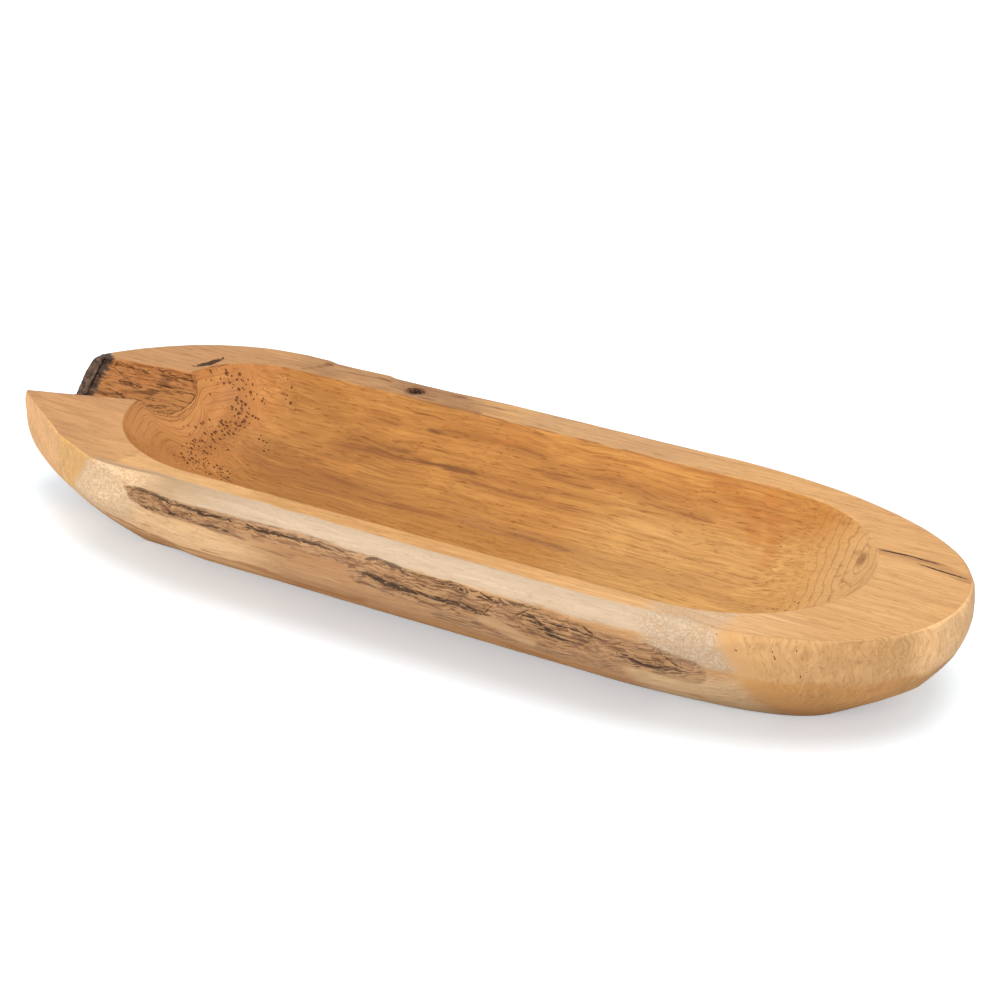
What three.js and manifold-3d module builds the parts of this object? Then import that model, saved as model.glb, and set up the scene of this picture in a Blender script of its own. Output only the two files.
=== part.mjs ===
// A long centerpiece bowl, carved from one split teak branch that forks at its left end.
// The fork leaves a smooth horn in front, a weathered limb behind and an open notch between them.
// Bark still clings to the limb's end and to the front flank, and dead knots sit in the wood.
// Millimetres, +Z up. X runs along the bowl (horn end at -X), Y towards the back, and the origin
// is under the middle of the bowl, on the surface that it stands on.

import * as THREE from 'three';
import { mergeVertices } from 'three/addons/utils/BufferGeometryUtils.js';
import Module from 'manifold-3d';

const wasm = await Module();
wasm.setup();

// Overall size
const bowlLength = 614;
const bowlWidth = 210;
const bowlHeight = 72;

// Widest outline, seen from above: distances from the ends and from the widest line
const rightRoundLength = 191;
const rightRoundSquareness = 2.15;
const shoulderLength = 120;
const shoulderControlFromEnd = 40;
const shoulderControlInset = 5;
const limbEndInset = 72;
const hornTipInset = 72;
const cheekCornerFromEnd = 64;
const cheekCornerInset = 28;
const frontCornerFromEnd = 101;
const frontCornerInset = 12;
const frontFullFromEnd = 168;

// Flat base, seen from above: insets from the same ends and sides
const baseInsetRight = 57;
const baseInsetLeft = 83;
const baseInsetSide = 55;
const baseRightSquareness = 2.8;
const baseHornInset = 65;
const baseLimbInset = 80;
const baseCheekFromEnd = 105;
const baseFrontFromEnd = 125;
const baseBackFromEnd = 168;

// Sections down the outside, at points round the bowl. Each leaves the rim with a rounding, runs
// to a chine, then goes under to the flat base. Depths are below the rim, insets are in from the
// widest outline, and fullness is how late the underside turns in.
const rightTipSection = { roundDepth: 9, roundInset: 4, chineDepth: 44, chineInset: 13, fullness: 1.1 };
const rightCheekSection = { roundDepth: 6, roundInset: 3, chineDepth: 31, chineInset: 7, fullness: 1.3 };
const backSection = { roundDepth: 6, roundInset: 3, chineDepth: 20, chineInset: 1, fullness: 1.7 };
const limbSection = { roundDepth: 18, roundInset: 6, chineDepth: 20, chineInset: 0, fullness: 2.4 };
const hornSection = { roundDepth: 2, roundInset: 0.6, chineDepth: 16, chineInset: 0.5, fullness: 2.8 };
const leftCheekSection = { roundDepth: 3, roundInset: 2, chineDepth: 26, chineInset: 1, fullness: 1.4 };
const frontSection = { roundDepth: 15, roundInset: 14, chineDepth: 17, chineInset: 0, fullness: 1.7 };

// Cavity: rim widths around it, its depth and the shape of its walls
const rimWidthRight = 57;
const rimWidthBack = 25;
const rimWidthFront = 28;
const rimWidthLeft = 71;
const cavityDepth = 48;
const cavityRightRound = 87;
const cavityLeftRound = 91;
const cavityLimbCornerSquareness = 3.6;
const cavityHornCornerSquareness = 2;
const cavityRightWall = 112;
const cavityLeftWall = 105;
const cavityWallCurve = 3;

// Notch between the horn and the limb, at the cavity and at the open end
const notchHornEdgeAtCavity = -8;
const notchHornEdgeAtEnd = -33;
const notchLimbEdgeAtCavity = 41;
const notchLimbEdgeAtEnd = 31;
const notchDepthAtCavity = 16.5;
const notchDepthAtEnd = 30;
const notchSquarenessAtCavity = 2.2;
const notchSquarenessAtEnd = 1.3;

// Bark on the limb's end: the wood beyond a plane through a point of the rim. The plane faces
// out by a slant from -X and leans back by an angle, and the bark runs down it from the rim.
const endBarkFromEnd = 14;
const endBarkY = 31.5;
const endBarkSlant = 52;
const endBarkLean = 36;
const endBarkRun = 30;
const endBarkInnerReach = 7;

// Bark and weathered fibre on the front flank, each in a shallow seat. An outline is a list of
// stations: distance from the horn end, then the depths of the upper and the lower edge.
const flankBarkThickness = 2.4;
const flankBarkSink = 0.3;
const flankBarkOutlines = {
  flank_bark_upper_strip: [
    [133, 9.5, 12], [143, 6, 19], [156, 6, 18], [176, 6.5, 15], [194, 7, 12], [228, 7, 12.5],
    [260, 7, 10.5], [289, 8, 9.2],
  ],
  flank_bark_middle_patch: [
    [302, 14.5, 18.5], [313, 12.8, 22.8], [329, 9.4, 25.9], [345, 8, 24.8], [360, 7.5, 27.4],
    [377, 8, 24.4], [388, 10.4, 13.6],
  ],
  flank_bark_lower_patch: [
    [398, 14.6, 21.3], [408, 9.6, 28.6], [420, 8.4, 32.7], [436, 9.3, 28.9], [450, 13.3, 21.2],
  ],
  flank_bark_right_tip: [
    [456, 17, 23], [466, 14, 26.5], [476, 15, 31], [487, 18.5, 29.3], [496, 25.3, 27.6],
  ],
};

// Dead knots: loose plugs of old branch wood, each tapering into the wood below its face
const endWallKnot = { length: 10, width: 8, depth: 9, taper: 0.7 };
const endWallKnotAround = 32;
const endWallKnotShare = 0.93;
const backRimKnot = { length: 13, width: 10, depth: 14, taper: 0.75 };
const backRimKnotFromEnd = 212;
const backRimKnotFromBack = 15;
const limbKnot = { length: 9, width: 6, depth: 7, taper: 0.7 };
const limbKnotFromEnd = 56;
const limbKnotDepth = 9;
const knotSink = 0.2;

// Gap between a piece and its seat, and how far a cutter runs past the faces that it opens
const seatClearance = 0.3;
const cutOverrun = 12;

const teakFinish = { color: 0xcf9a5c, roughness: 0.55, metalness: 0 };
const endBarkFinish = { color: 0x5a463a, roughness: 0.9, metalness: 0 };
const flankBarkFinish = { color: 0x7a5a41, roughness: 0.85, metalness: 0 };
const knotFinish = { color: 0x5e4028, roughness: 0.75, metalness: 0 };

const halfLength = bowlLength / 2;
const halfWidth = bowlWidth / 2;

function mix(a, b, t) {
  return a + (b - a) * t;
}

function ease(t) {
  return t * t * (3 - 2 * t);
}

function clamp(value, low, high) {
  return Math.min(Math.max(value, low), high);
}

function mixSections(a, b, t) {
  const out = {};
  for (const key of Object.keys(a)) {
    out[key] = mix(a[key], b[key], t);
  }
  return out;
}

// Half a superellipse for angles 0 to 180 degrees: its reach is at 90, its width at 0 and 180
function superPoint(degrees, reach, width, squareness) {
  const angle = THREE.MathUtils.degToRad(degrees);
  const power = 2 / squareness;
  return [
    reach * Math.abs(Math.sin(angle)) ** power,
    Math.sign(Math.cos(angle)) * width * Math.abs(Math.cos(angle)) ** power,
  ];
}

// A closed body through rings of points, each end closed by a fan round its middle
function loft(rings) {
  const positions = [];
  const index = [];
  const count = rings[0].length;
  for (const ring of rings) {
    for (const p of ring) {
      positions.push(p.x, p.y, p.z);
    }
  }
  for (let k = 0; k < rings.length - 1; k += 1) {
    for (let i = 0; i < count; i += 1) {
      const j = (i + 1) % count;
      const [a, b] = [k * count + i, k * count + j];
      const [c, d] = [a + count, b + count];
      index.push(a, c, b, b, c, d);
    }
  }
  for (const k of [0, rings.length - 1]) {
    const middle = rings[k].reduce((sum, p) => sum.add(p), new THREE.Vector3()).divideScalar(count);
    const m = positions.length / 3;
    positions.push(middle.x, middle.y, middle.z);
    for (let i = 0; i < count; i += 1) {
      const [a, b] = [k * count + i, k * count + ((i + 1) % count)];
      index.push(...(k === 0 ? [m, a, b] : [m, b, a]));
    }
  }
  const geometry = new THREE.BufferGeometry();
  geometry.setAttribute('position', new THREE.Float32BufferAttribute(positions, 3));
  geometry.setIndex(index);
  return geometry;
}

function toSolid(geometry) {
  const bare = geometry.clone();
  bare.deleteAttribute('normal');
  bare.deleteAttribute('uv');
  const merged = mergeVertices(bare);
  return new wasm.Manifold(new wasm.Mesh({
    numProp: 3,
    vertProperties: new Float32Array(merged.attributes.position.array),
    triVerts: new Uint32Array(merged.index.array),
  }));
}

function toGeometry(solid) {
  const mesh = solid.getMesh();
  const geometry = new THREE.BufferGeometry();
  geometry.setAttribute('position', new THREE.BufferAttribute(mesh.vertProperties, 3));
  geometry.setIndex(new THREE.BufferAttribute(mesh.triVerts, 1));
  geometry.computeVertexNormals();
  return geometry;
}

// Corners of the two outlines, by distance from the horn end and from the widest line
function corner(fromEnd, inset, side) {
  return new THREE.Vector2(-halfLength + fromEnd, side * (halfWidth - inset));
}

const rightCentreX = halfLength - rightRoundLength;
const baseHalfWidth = halfWidth - baseInsetSide;

const frontRight = new THREE.Vector2(rightCentreX, -halfWidth);
const backRight = new THREE.Vector2(rightCentreX, halfWidth);
const backLeft = corner(shoulderLength, 0, 1);
const shoulderControl = corner(shoulderControlFromEnd, shoulderControlInset, 1);
const limbEnd = corner(0, limbEndInset, 1);
const hornTip = corner(0, hornTipInset, -1);
const cheekCorner = corner(cheekCornerFromEnd, cheekCornerInset, -1);
const frontCorner = corner(frontCornerFromEnd, frontCornerInset, -1);
const frontFull = corner(frontFullFromEnd, 0, -1);

const baseFrontRight = new THREE.Vector2(rightCentreX, -baseHalfWidth);
const baseBackRight = new THREE.Vector2(rightCentreX, baseHalfWidth);
const baseBackLeft = corner(baseBackFromEnd, baseInsetSide, 1);
const baseShoulderControl = corner(baseInsetLeft, baseInsetSide, 1);
const baseLimb = corner(baseInsetLeft, baseLimbInset, 1);
const baseHorn = corner(baseInsetLeft, baseHornInset, -1);
const baseCheek = corner(baseCheekFromEnd, baseInsetSide, -1);
const baseFront = corner(baseFrontFromEnd, baseInsetSide, -1);
const baseFrontFull = corner(frontFullFromEnd, baseInsetSide, -1);

function line(a, b) {
  return (t) => a.clone().lerp(b, t);
}

function bend(a, control, b) {
  const curve = new THREE.QuadraticBezierCurve(a, control, b);
  return (t) => curve.getPoint(t);
}

function rightArc(fromDegrees, toDegrees, reach, width, squareness) {
  return (t) => {
    const [x, y] = superPoint(mix(fromDegrees, toDegrees, t), reach, width, squareness);
    return new THREE.Vector2(rightCentreX + x, -y);
  };
}

// A span gives the widest outline and the base outline for t = 0 to 1, in a number of steps,
// and the sections at its two ends
function span(widest, base, steps, from, to) {
  return { widest, base, steps, from, to };
}

function rightSpan(fromDegrees, toDegrees, steps, from, to) {
  const widest = rightArc(fromDegrees, toDegrees, rightRoundLength, halfWidth, rightRoundSquareness);
  const base = rightArc(fromDegrees, toDegrees, rightRoundLength - baseInsetRight, baseHalfWidth,
    baseRightSquareness);
  return span(widest, base, steps, from, to);
}

// Spans round the bowl, anticlockwise from where the front flank meets the round right end
const outlineSpans = [
  rightSpan(0, 50, 8, frontSection, rightCheekSection),
  rightSpan(50, 90, 7, rightCheekSection, rightTipSection),
  rightSpan(90, 130, 7, rightTipSection, rightCheekSection),
  rightSpan(130, 180, 8, rightCheekSection, backSection),
  span(line(backRight, backLeft), line(baseBackRight, baseBackLeft), 8, backSection, backSection),
  span(bend(backLeft, shoulderControl, limbEnd), bend(baseBackLeft, baseShoulderControl, baseLimb),
    12, backSection, limbSection),
  span(line(limbEnd, hornTip), line(baseLimb, baseHorn), 6, limbSection, hornSection),
  span(line(hornTip, cheekCorner), line(baseHorn, baseCheek), 5, hornSection, leftCheekSection),
  span(line(cheekCorner, frontCorner), line(baseCheek, baseFront), 4, leftCheekSection,
    leftCheekSection),
  span(line(frontCorner, frontFull), line(baseFront, baseFrontFull), 5, leftCheekSection,
    frontSection),
  span(line(frontFull, frontRight), line(baseFrontFull, baseFrontRight), 10, frontSection,
    frontSection),
];

function spanSample({ widest, base, from, to }, t) {
  return { widest: widest(t), base: base(t), section: mixSections(from, to, ease(t)) };
}

// Depths below the rim at the levels of a section
const roundSteps = 4;
const sideSteps = 3;
const underSteps = 7;

function sectionDepths(section) {
  const depths = [];
  for (let i = 0; i < roundSteps; i += 1) {
    depths.push(section.roundDepth * (1 - Math.cos((i / roundSteps) * Math.PI / 2)));
  }
  for (let i = 0; i < sideSteps; i += 1) {
    depths.push(mix(section.roundDepth, section.chineDepth, i / sideSteps));
  }
  for (let i = 0; i <= underSteps; i += 1) {
    depths.push(mix(section.chineDepth, bowlHeight, i / underSteps));
  }
  return depths;
}

// Inset of a section at a depth, out of its whole run from the widest outline to the base
function sectionInset(section, depth, run) {
  if (depth < section.roundDepth) {
    const up = 1 - depth / section.roundDepth;
    return section.roundInset * (1 - Math.sqrt(1 - up * up));
  }
  if (depth < section.chineDepth) {
    const t = (depth - section.roundDepth) / (section.chineDepth - section.roundDepth);
    return section.chineInset * t * t;
  }
  const t = (depth - section.chineDepth) / (bowlHeight - section.chineDepth);
  return section.chineInset + (run - section.chineInset) * t ** section.fullness;
}

// The point of the outside at a depth under a sample of the outline
function hullPoint({ widest, base, section }, depth) {
  const run = base.clone().sub(widest);
  const inset = sectionInset(section, depth, run.length());
  const at = widest.clone().addScaledVector(run.normalize(), inset);
  return new THREE.Vector3(at.x, at.y, bowlHeight - depth);
}

function hullRings() {
  const columns = [];
  for (const part of outlineSpans) {
    for (let i = 0; i < part.steps; i += 1) {
      const sample = spanSample(part, i / part.steps);
      columns.push(sectionDepths(sample.section).map((depth) => hullPoint(sample, depth)));
    }
  }
  return columns[0].map((_, level) => columns.map((column) => column[level]));
}

// Cavity edge at the rim: a round right end, two long sides and a squarer limb corner
const cavityRightX = halfLength - rimWidthRight;
const cavityLeftX = -halfLength + rimWidthLeft;
const cavityBackY = halfWidth - rimWidthBack;
const cavityFrontY = -halfWidth + rimWidthFront;
const cavityRightCentre = cavityRightX - cavityRightRound;
const cavityLeftCentre = cavityLeftX + cavityLeftRound;
const cavityEndSteps = 18;
const cavitySideSteps = 8;

// Right end of the cavity edge, by degrees round it from the tip towards the back
function cavityRightEdge(degrees) {
  const angle = THREE.MathUtils.degToRad(degrees);
  const width = degrees < 0 ? -cavityFrontY : cavityBackY;
  return new THREE.Vector2(
    cavityRightCentre + cavityRightRound * Math.cos(angle),
    width * Math.sin(angle),
  );
}

function cavityEdge() {
  const edge = [];
  for (let i = 0; i < cavityEndSteps; i += 1) {
    edge.push(cavityRightEdge(mix(-90, 90, i / cavityEndSteps)));
  }
  for (let i = 0; i < cavitySideSteps; i += 1) {
    const x = mix(cavityRightCentre, cavityLeftCentre, i / cavitySideSteps);
    edge.push(new THREE.Vector2(x, cavityBackY));
  }
  for (let i = 0; i < cavityEndSteps; i += 1) {
    const degrees = mix(0, 180, i / cavityEndSteps);
    const limbSide = degrees < 90;
    const width = limbSide ? cavityBackY : -cavityFrontY;
    const squareness = limbSide ? cavityLimbCornerSquareness : cavityHornCornerSquareness;
    const [x, y] = superPoint(degrees, cavityLeftRound, width, squareness);
    edge.push(new THREE.Vector2(cavityLeftCentre - x, y));
  }
  for (let i = 0; i < cavitySideSteps; i += 1) {
    const x = mix(cavityLeftCentre, cavityRightCentre, i / cavitySideSteps);
    edge.push(new THREE.Vector2(x, cavityFrontY));
  }
  return edge;
}

// Point of the cavity wall below a point of its edge: share 1 is the edge, 0 is the floor's line
function cavityPoint(edgePoint, share) {
  const x = clamp(edgePoint.x, cavityLeftX + cavityLeftWall, cavityRightX - cavityRightWall);
  return new THREE.Vector3(
    mix(x, edgePoint.x, share),
    edgePoint.y * share,
    bowlHeight - cavityDepth * (1 - share ** cavityWallCurve),
  );
}

const cavityShares = [1, 0.95, 0.88, 0.79, 0.68, 0.55, 0.4, 0.22];

function cavityCutter() {
  const edge = cavityEdge();
  const lid = edge.map((p) => new THREE.Vector3(p.x, p.y, bowlHeight + cutOverrun));
  return loft([lid, ...cavityShares.map((share) => edge.map((p) => cavityPoint(p, share)))]);
}

// Notch: a half-round trough whose edges and depth follow the distance along X
function notchAt(x) {
  const t = (cavityLeftX - x) / (cavityLeftX + halfLength);
  const horn = mix(notchHornEdgeAtCavity, notchHornEdgeAtEnd, t);
  const limb = mix(notchLimbEdgeAtCavity, notchLimbEdgeAtEnd, t);
  return {
    middle: (horn + limb) / 2,
    halfWidth: (limb - horn) / 2,
    depth: mix(notchDepthAtCavity, notchDepthAtEnd, t),
    squareness: mix(notchSquarenessAtCavity, notchSquarenessAtEnd, clamp(t, 0, 1)),
  };
}

// Point of the notch wall: 0 degrees is the limb's edge at the rim, 180 the horn's
function notchPoint(x, degrees) {
  const notch = notchAt(x);
  const [down, across] = superPoint(degrees, notch.depth, notch.halfWidth, notch.squareness);
  return new THREE.Vector3(x, notch.middle + across, bowlHeight - down);
}

const notchSteps = 6;
const notchWallSteps = 12;

function notchCutter() {
  const rings = [];
  for (let i = 0; i <= notchSteps; i += 1) {
    const x = mix(cavityLeftX + 2 * cutOverrun, -halfLength - cutOverrun, i / notchSteps);
    const ring = [];
    for (let j = 0; j <= notchWallSteps; j += 1) {
      ring.push(notchPoint(x, 180 * (1 - j / notchWallSteps)));
    }
    const { middle, halfWidth: half } = notchAt(x);
    ring.push(new THREE.Vector3(x, middle + half, bowlHeight + cutOverrun));
    ring.push(new THREE.Vector3(x, middle - half, bowlHeight + cutOverrun));
    rings.push(ring);
  }
  return loft(rings);
}

// Block beyond the plane at the limb's end, grown by the gap where it is a cutter
function limbEndBlock(gap) {
  const along = halfWidth;
  const out = halfWidth;
  const height = endBarkRun + cutOverrun + gap;
  const block = new THREE.BoxGeometry(along, out, height);
  block.translate(along / 2 - endBarkInnerReach - gap, out / 2 - gap, cutOverrun - height / 2);
  block.rotateX(THREE.MathUtils.degToRad(endBarkLean));
  block.rotateZ(THREE.MathUtils.degToRad(90 + endBarkSlant));
  block.translate(-halfLength + endBarkFromEnd, endBarkY, bowlHeight);
  return block;
}

// The outline sample on the front flank at a place along X
const frontSpans = [outlineSpans[8], outlineSpans[9], outlineSpans[10], outlineSpans[0]];

function frontSample(x) {
  for (const part of frontSpans) {
    const [from, to] = [part.widest(0).x, part.widest(1).x];
    if (x >= from && x <= to) {
      let [low, high] = [0, 1];
      while (high - low > 1e-6) {
        const middle = (low + high) / 2;
        if (part.widest(middle).x < x) {
          low = middle;
        } else {
          high = middle;
        }
      }
      return spanSample(part, low);
    }
  }
  throw new Error(`no front flank at ${x}`);
}

// Point a distance outside (or, below zero, inside) the front flank
function flankPoint(x, depth, out) {
  const here = hullPoint(frontSample(x), depth);
  const along = hullPoint(frontSample(x + 1), depth).sub(here);
  const down = hullPoint(frontSample(x), depth + 1).sub(here);
  return here.addScaledVector(down.cross(along).normalize(), out);
}

const barkSidePoints = 4;
const barkStepsPerStation = 2;

// A patch that lies on the flank between two offsets, its outline grown all round
function flankPatch(stations, outer, inner, grow) {
  const curve = new THREE.CatmullRomCurve3(stations.map((s) => new THREE.Vector3(...s)));
  const count = (stations.length - 1) * barkStepsPerStation;
  const rings = [];
  for (let i = 0; i <= count; i += 1) {
    const { x: fromEnd, y: top, z: bottom } = curve.getPoint(i / count);
    const stretch = mix(-grow, grow, i / count);
    const x = -halfLength + fromEnd + stretch;
    const ring = [];
    for (let j = 0; j <= barkSidePoints; j += 1) {
      ring.push(flankPoint(x, mix(bottom + grow, top - grow, j / barkSidePoints), outer));
    }
    for (let j = 0; j <= barkSidePoints; j += 1) {
      ring.push(flankPoint(x, mix(top - grow, bottom + grow, j / barkSidePoints), inner));
    }
    rings.push(ring);
  }
  return loft(rings);
}

const knotSides = 20;

// A tapering oval plug, along the outward direction at a point of the surface. Its face stands
// proud of that point (or, below zero, sunk) and the whole of it is grown by the gap.
function knotPlug(knot, point, outward, along, gap, proud) {
  const up = outward.clone().normalize();
  const across = new THREE.Vector3().crossVectors(along, up).normalize();
  const lengthways = new THREE.Vector3().crossVectors(up, across);
  const rings = [-knot.depth - gap, proud].map((height) => {
    const narrowing = 1 + (1 - knot.taper) * (height / knot.depth);
    const ring = [];
    for (let i = 0; i < knotSides; i += 1) {
      const angle = (i / knotSides) * 2 * Math.PI;
      ring.push(point.clone()
        .addScaledVector(up, height)
        .addScaledVector(lengthways, Math.cos(angle) * (narrowing * knot.length / 2 + gap))
        .addScaledVector(across, Math.sin(angle) * (narrowing * knot.width / 2 + gap)));
    }
    return ring;
  });
  return loft(rings);
}

const lengthwise = new THREE.Vector3(1, 0, 0);

function endWallKnotPlug(gap, proud) {
  const edge = cavityRightEdge(endWallKnotAround);
  const here = cavityPoint(edge, endWallKnotShare);
  const down = cavityPoint(edge, endWallKnotShare - 0.01).sub(here);
  const round = cavityPoint(cavityRightEdge(endWallKnotAround + 1), endWallKnotShare).sub(here);
  return knotPlug(endWallKnot, here, round.clone().cross(down), round, gap, proud);
}

function backRimKnotPlug(gap, proud) {
  const here = new THREE.Vector3(
    -halfLength + backRimKnotFromEnd,
    halfWidth - backRimKnotFromBack,
    bowlHeight,
  );
  return knotPlug(backRimKnot, here, new THREE.Vector3(0, 0, 1), lengthwise, gap, proud);
}

function limbKnotPlug(gap, proud) {
  const x = -halfLength + limbKnotFromEnd;
  const notch = notchAt(x);
  const sine = (limbKnotDepth / notch.depth) ** (notch.squareness / 2);
  const degrees = THREE.MathUtils.radToDeg(Math.asin(sine));
  const here = notchPoint(x, degrees);
  const along = notchPoint(x + 1, degrees).sub(here);
  const down = notchPoint(x, degrees + 1).sub(here);
  return knotPlug(limbKnot, here, down.cross(along), along, gap, proud);
}

const bowl = new THREE.Group();

function addPiece(name, solid, finish) {
  const mesh = new THREE.Mesh(toGeometry(solid), new THREE.MeshStandardMaterial(finish));
  mesh.name = name;
  bowl.add(mesh);
}

const hull = toSolid(loft(hullRings()));
const notch = toSolid(notchCutter());
let body = hull.subtract(toSolid(cavityCutter())).subtract(notch);

const limbEndBark = hull.subtract(notch).intersect(toSolid(limbEndBlock(0)));
body = body.subtract(toSolid(limbEndBlock(seatClearance)));
addPiece('bark_end_cap', limbEndBark, endBarkFinish);

for (const [name, stations] of Object.entries(flankBarkOutlines)) {
  const piece = flankPatch(stations, -flankBarkSink, -flankBarkThickness, 0);
  const seat = flankPatch(stations, cutOverrun / 4, -flankBarkThickness - seatClearance, seatClearance);
  body = body.subtract(toSolid(seat));
  addPiece(name, toSolid(piece), flankBarkFinish);
}

const knotPlugs = {
  end_wall_dead_knot: endWallKnotPlug,
  back_rim_dead_knot: backRimKnotPlug,
  limb_pin_knot: limbKnotPlug,
};
for (const [name, plug] of Object.entries(knotPlugs)) {
  body = body.subtract(toSolid(plug(seatClearance, cutOverrun / 4)));
  addPiece(name, toSolid(plug(0, -knotSink)), knotFinish);
}

addPiece('bowl_body', body, teakFinish);

export default bowl;
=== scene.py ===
import math

import bmesh
import bpy
import numpy as np
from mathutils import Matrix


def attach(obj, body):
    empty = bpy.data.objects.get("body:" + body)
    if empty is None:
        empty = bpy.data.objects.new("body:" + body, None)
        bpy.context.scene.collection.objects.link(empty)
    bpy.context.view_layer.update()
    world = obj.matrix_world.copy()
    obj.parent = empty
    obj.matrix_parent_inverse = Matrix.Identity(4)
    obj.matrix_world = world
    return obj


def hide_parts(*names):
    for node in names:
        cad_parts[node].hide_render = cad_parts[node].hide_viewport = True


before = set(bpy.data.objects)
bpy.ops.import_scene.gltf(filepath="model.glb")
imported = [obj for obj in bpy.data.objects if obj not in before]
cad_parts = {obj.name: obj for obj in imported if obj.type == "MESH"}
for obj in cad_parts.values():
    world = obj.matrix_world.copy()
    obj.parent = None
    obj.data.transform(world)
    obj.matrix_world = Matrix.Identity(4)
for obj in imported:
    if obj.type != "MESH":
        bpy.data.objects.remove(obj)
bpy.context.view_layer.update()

# Sizes in millimetres, as in the frame
halfLength, halfWidth, height = 307.0, 105.0, 72.0
rightCentre, rightRound, rightSquareness = 116.0, 191.0, 2.15
baseHalfWidth, baseRightRound, baseRightSquareness = 50.0, 134.0, 2.8
cavityDepth, cavityCurve = 48.0, 3.0
cavityRight = {"centre": 163.0, "reach": 87.0, "front": 77.0, "back": 80.0}
cavityLeft = {"centre": -145.0, "reach": 91.0, "front": 77.0, "back": 80.0,
              "frontSquareness": 2.0, "backSquareness": 3.6}
spineLeft, spineRight = -131.0, 138.0
# The notch at the hollow and at the end face
notch = {"x": (-236.0, -307.0), "horn": (-8.0, -33.0), "limb": (41.0, 31.0), "depth": (16.5, 30.0),
         "squareness": (2.2, 1.3)}


# a + (b - a) t
def mix(a, b, t):
    return a + (b - a) * t


# 3 t^2 - 2 t^3
def ease(t):
    return t * t * (3 - 2 * t)


# 0 below low, 1 above high, eased between
def ramp(value, low, high):
    return ease(np.clip((value - low) / (high - low), 0, 1))


# 1 below low, 0 above high
def fall(value, low, high):
    return 1 - ramp(value, low, high)


# 1 between low and high, eased off over soft outside them
def band(value, low, high, soft):
    return ramp(value, low - soft, low) * fall(value, high, high + soft)


# Large numbers that scatter a cell's x, y, z and seed over one key, and the key's shifts and factors
scatter, keyBits = (73856093, 19349663, 83492791, 2654435761), 0x7fffffff
keyTurns = ((13, 1274126177), (15, 668265263))


# Smooth random values from -1 to 1, one lattice cell per unit: the corners' values blended
# by ease(f) along each axis
def lattice(p, seed=0):
    cell = np.floor(p).astype(np.int64)
    f = ease(p - cell)
    total = 0
    for dx in (0, 1):
        for dy in (0, 1):
            for dz in (0, 1):
                key = ((cell[..., 0] + dx) * scatter[0] ^ (cell[..., 1] + dy) * scatter[1]
                       ^ (cell[..., 2] + dz) * scatter[2] ^ (seed + 7) * scatter[3]) & keyBits
                for shift, factor in keyTurns:
                    key = ((key ^ (key >> shift)) * factor) & keyBits
                value = ((key >> 8) & 0xffff) / 32767.5 - 1
                total = total + value * (np.where(dx, f[..., 0], 1 - f[..., 0])
                                         * np.where(dy, f[..., 1], 1 - f[..., 1])
                                         * np.where(dz, f[..., 2], 1 - f[..., 2]))
    return total


# Sum of lattices, each 2.1 times finer and half as strong: size is the cell in mm along x, y, z
def noise(p, size, seed=0, octaves=3):
    q = p / np.array(size, float)
    total, weight, scale = 0, 1.0, 0.0
    for k in range(octaves):
        total = total + weight * lattice(q + 31.7 * k, seed + k)
        scale += weight
        weight *= 0.5
        q = q * 2.1
    return total / scale


# Half a superellipse: reach * |sin|^(2/n), sign(cos) * width * |cos|^(2/n)
def superPoint(degrees, reach, width, squareness):
    angle = np.radians(degrees)
    power = 2 / squareness
    return (reach * np.abs(np.sin(angle)) ** power,
            np.sign(np.cos(angle)) * width * np.abs(np.cos(angle)) ** power)


# Root of the sum of squares along the last axis
def lengthOf(v):
    return np.linalg.norm(v, axis=-1)


def unit(v):
    return v / np.maximum(lengthOf(v), 1e-9)[..., None]


# Sum of the steps so far, from zero
def running(steps):
    return np.concatenate([[0], np.cumsum(steps)])


# Straight line a + (b - a) t
def line(a, b):
    a, b = np.array(a, float), np.array(b, float)
    return lambda t: a + (b - a) * t[:, None]


# Bend (1-t)^2 a + 2 t (1-t) c + t^2 b
def bend(a, c, b):
    a, b, c = np.array(a, float), np.array(b, float), np.array(c, float)
    return lambda t: ((1 - t) ** 2)[:, None] * a + (2 * t * (1 - t))[:, None] * c + (t * t)[:, None] * b


# Half superellipse round the right end, from the front over the tip to the back
def rightArc(start, end, reach, width, squareness):
    def at(t):
        x, y = superPoint(mix(start, end, t), reach, width, squareness)
        return np.stack([rightCentre + x, -y], -1)
    return at


# Sections down the outside: rounding depth and inset, chine depth and inset, fullness
sections = {
    "rightTip": [9, 4, 44, 13, 1.1], "rightCheek": [6, 3, 31, 7, 1.3], "back": [6, 3, 20, 1, 1.7],
    "limb": [18, 6, 20, 0, 2.4], "horn": [2, 0.6, 16, 0.5, 2.8], "leftCheek": [3, 2, 26, 1, 1.4],
    "front": [15, 14, 17, 0, 1.9],
}


def rightSpan(start, end, a, b):
    return (rightArc(start, end, rightRound, halfWidth, rightSquareness),
            rightArc(start, end, baseRightRound, baseHalfWidth, baseRightSquareness), a, b)


# Degrees and sections of the right end's arcs, from the front over the tip to the back
rightTurns = [0, 50, 90, 130, 180]
rightSections = ["front", "rightCheek", "rightTip", "rightCheek", "back"]
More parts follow.
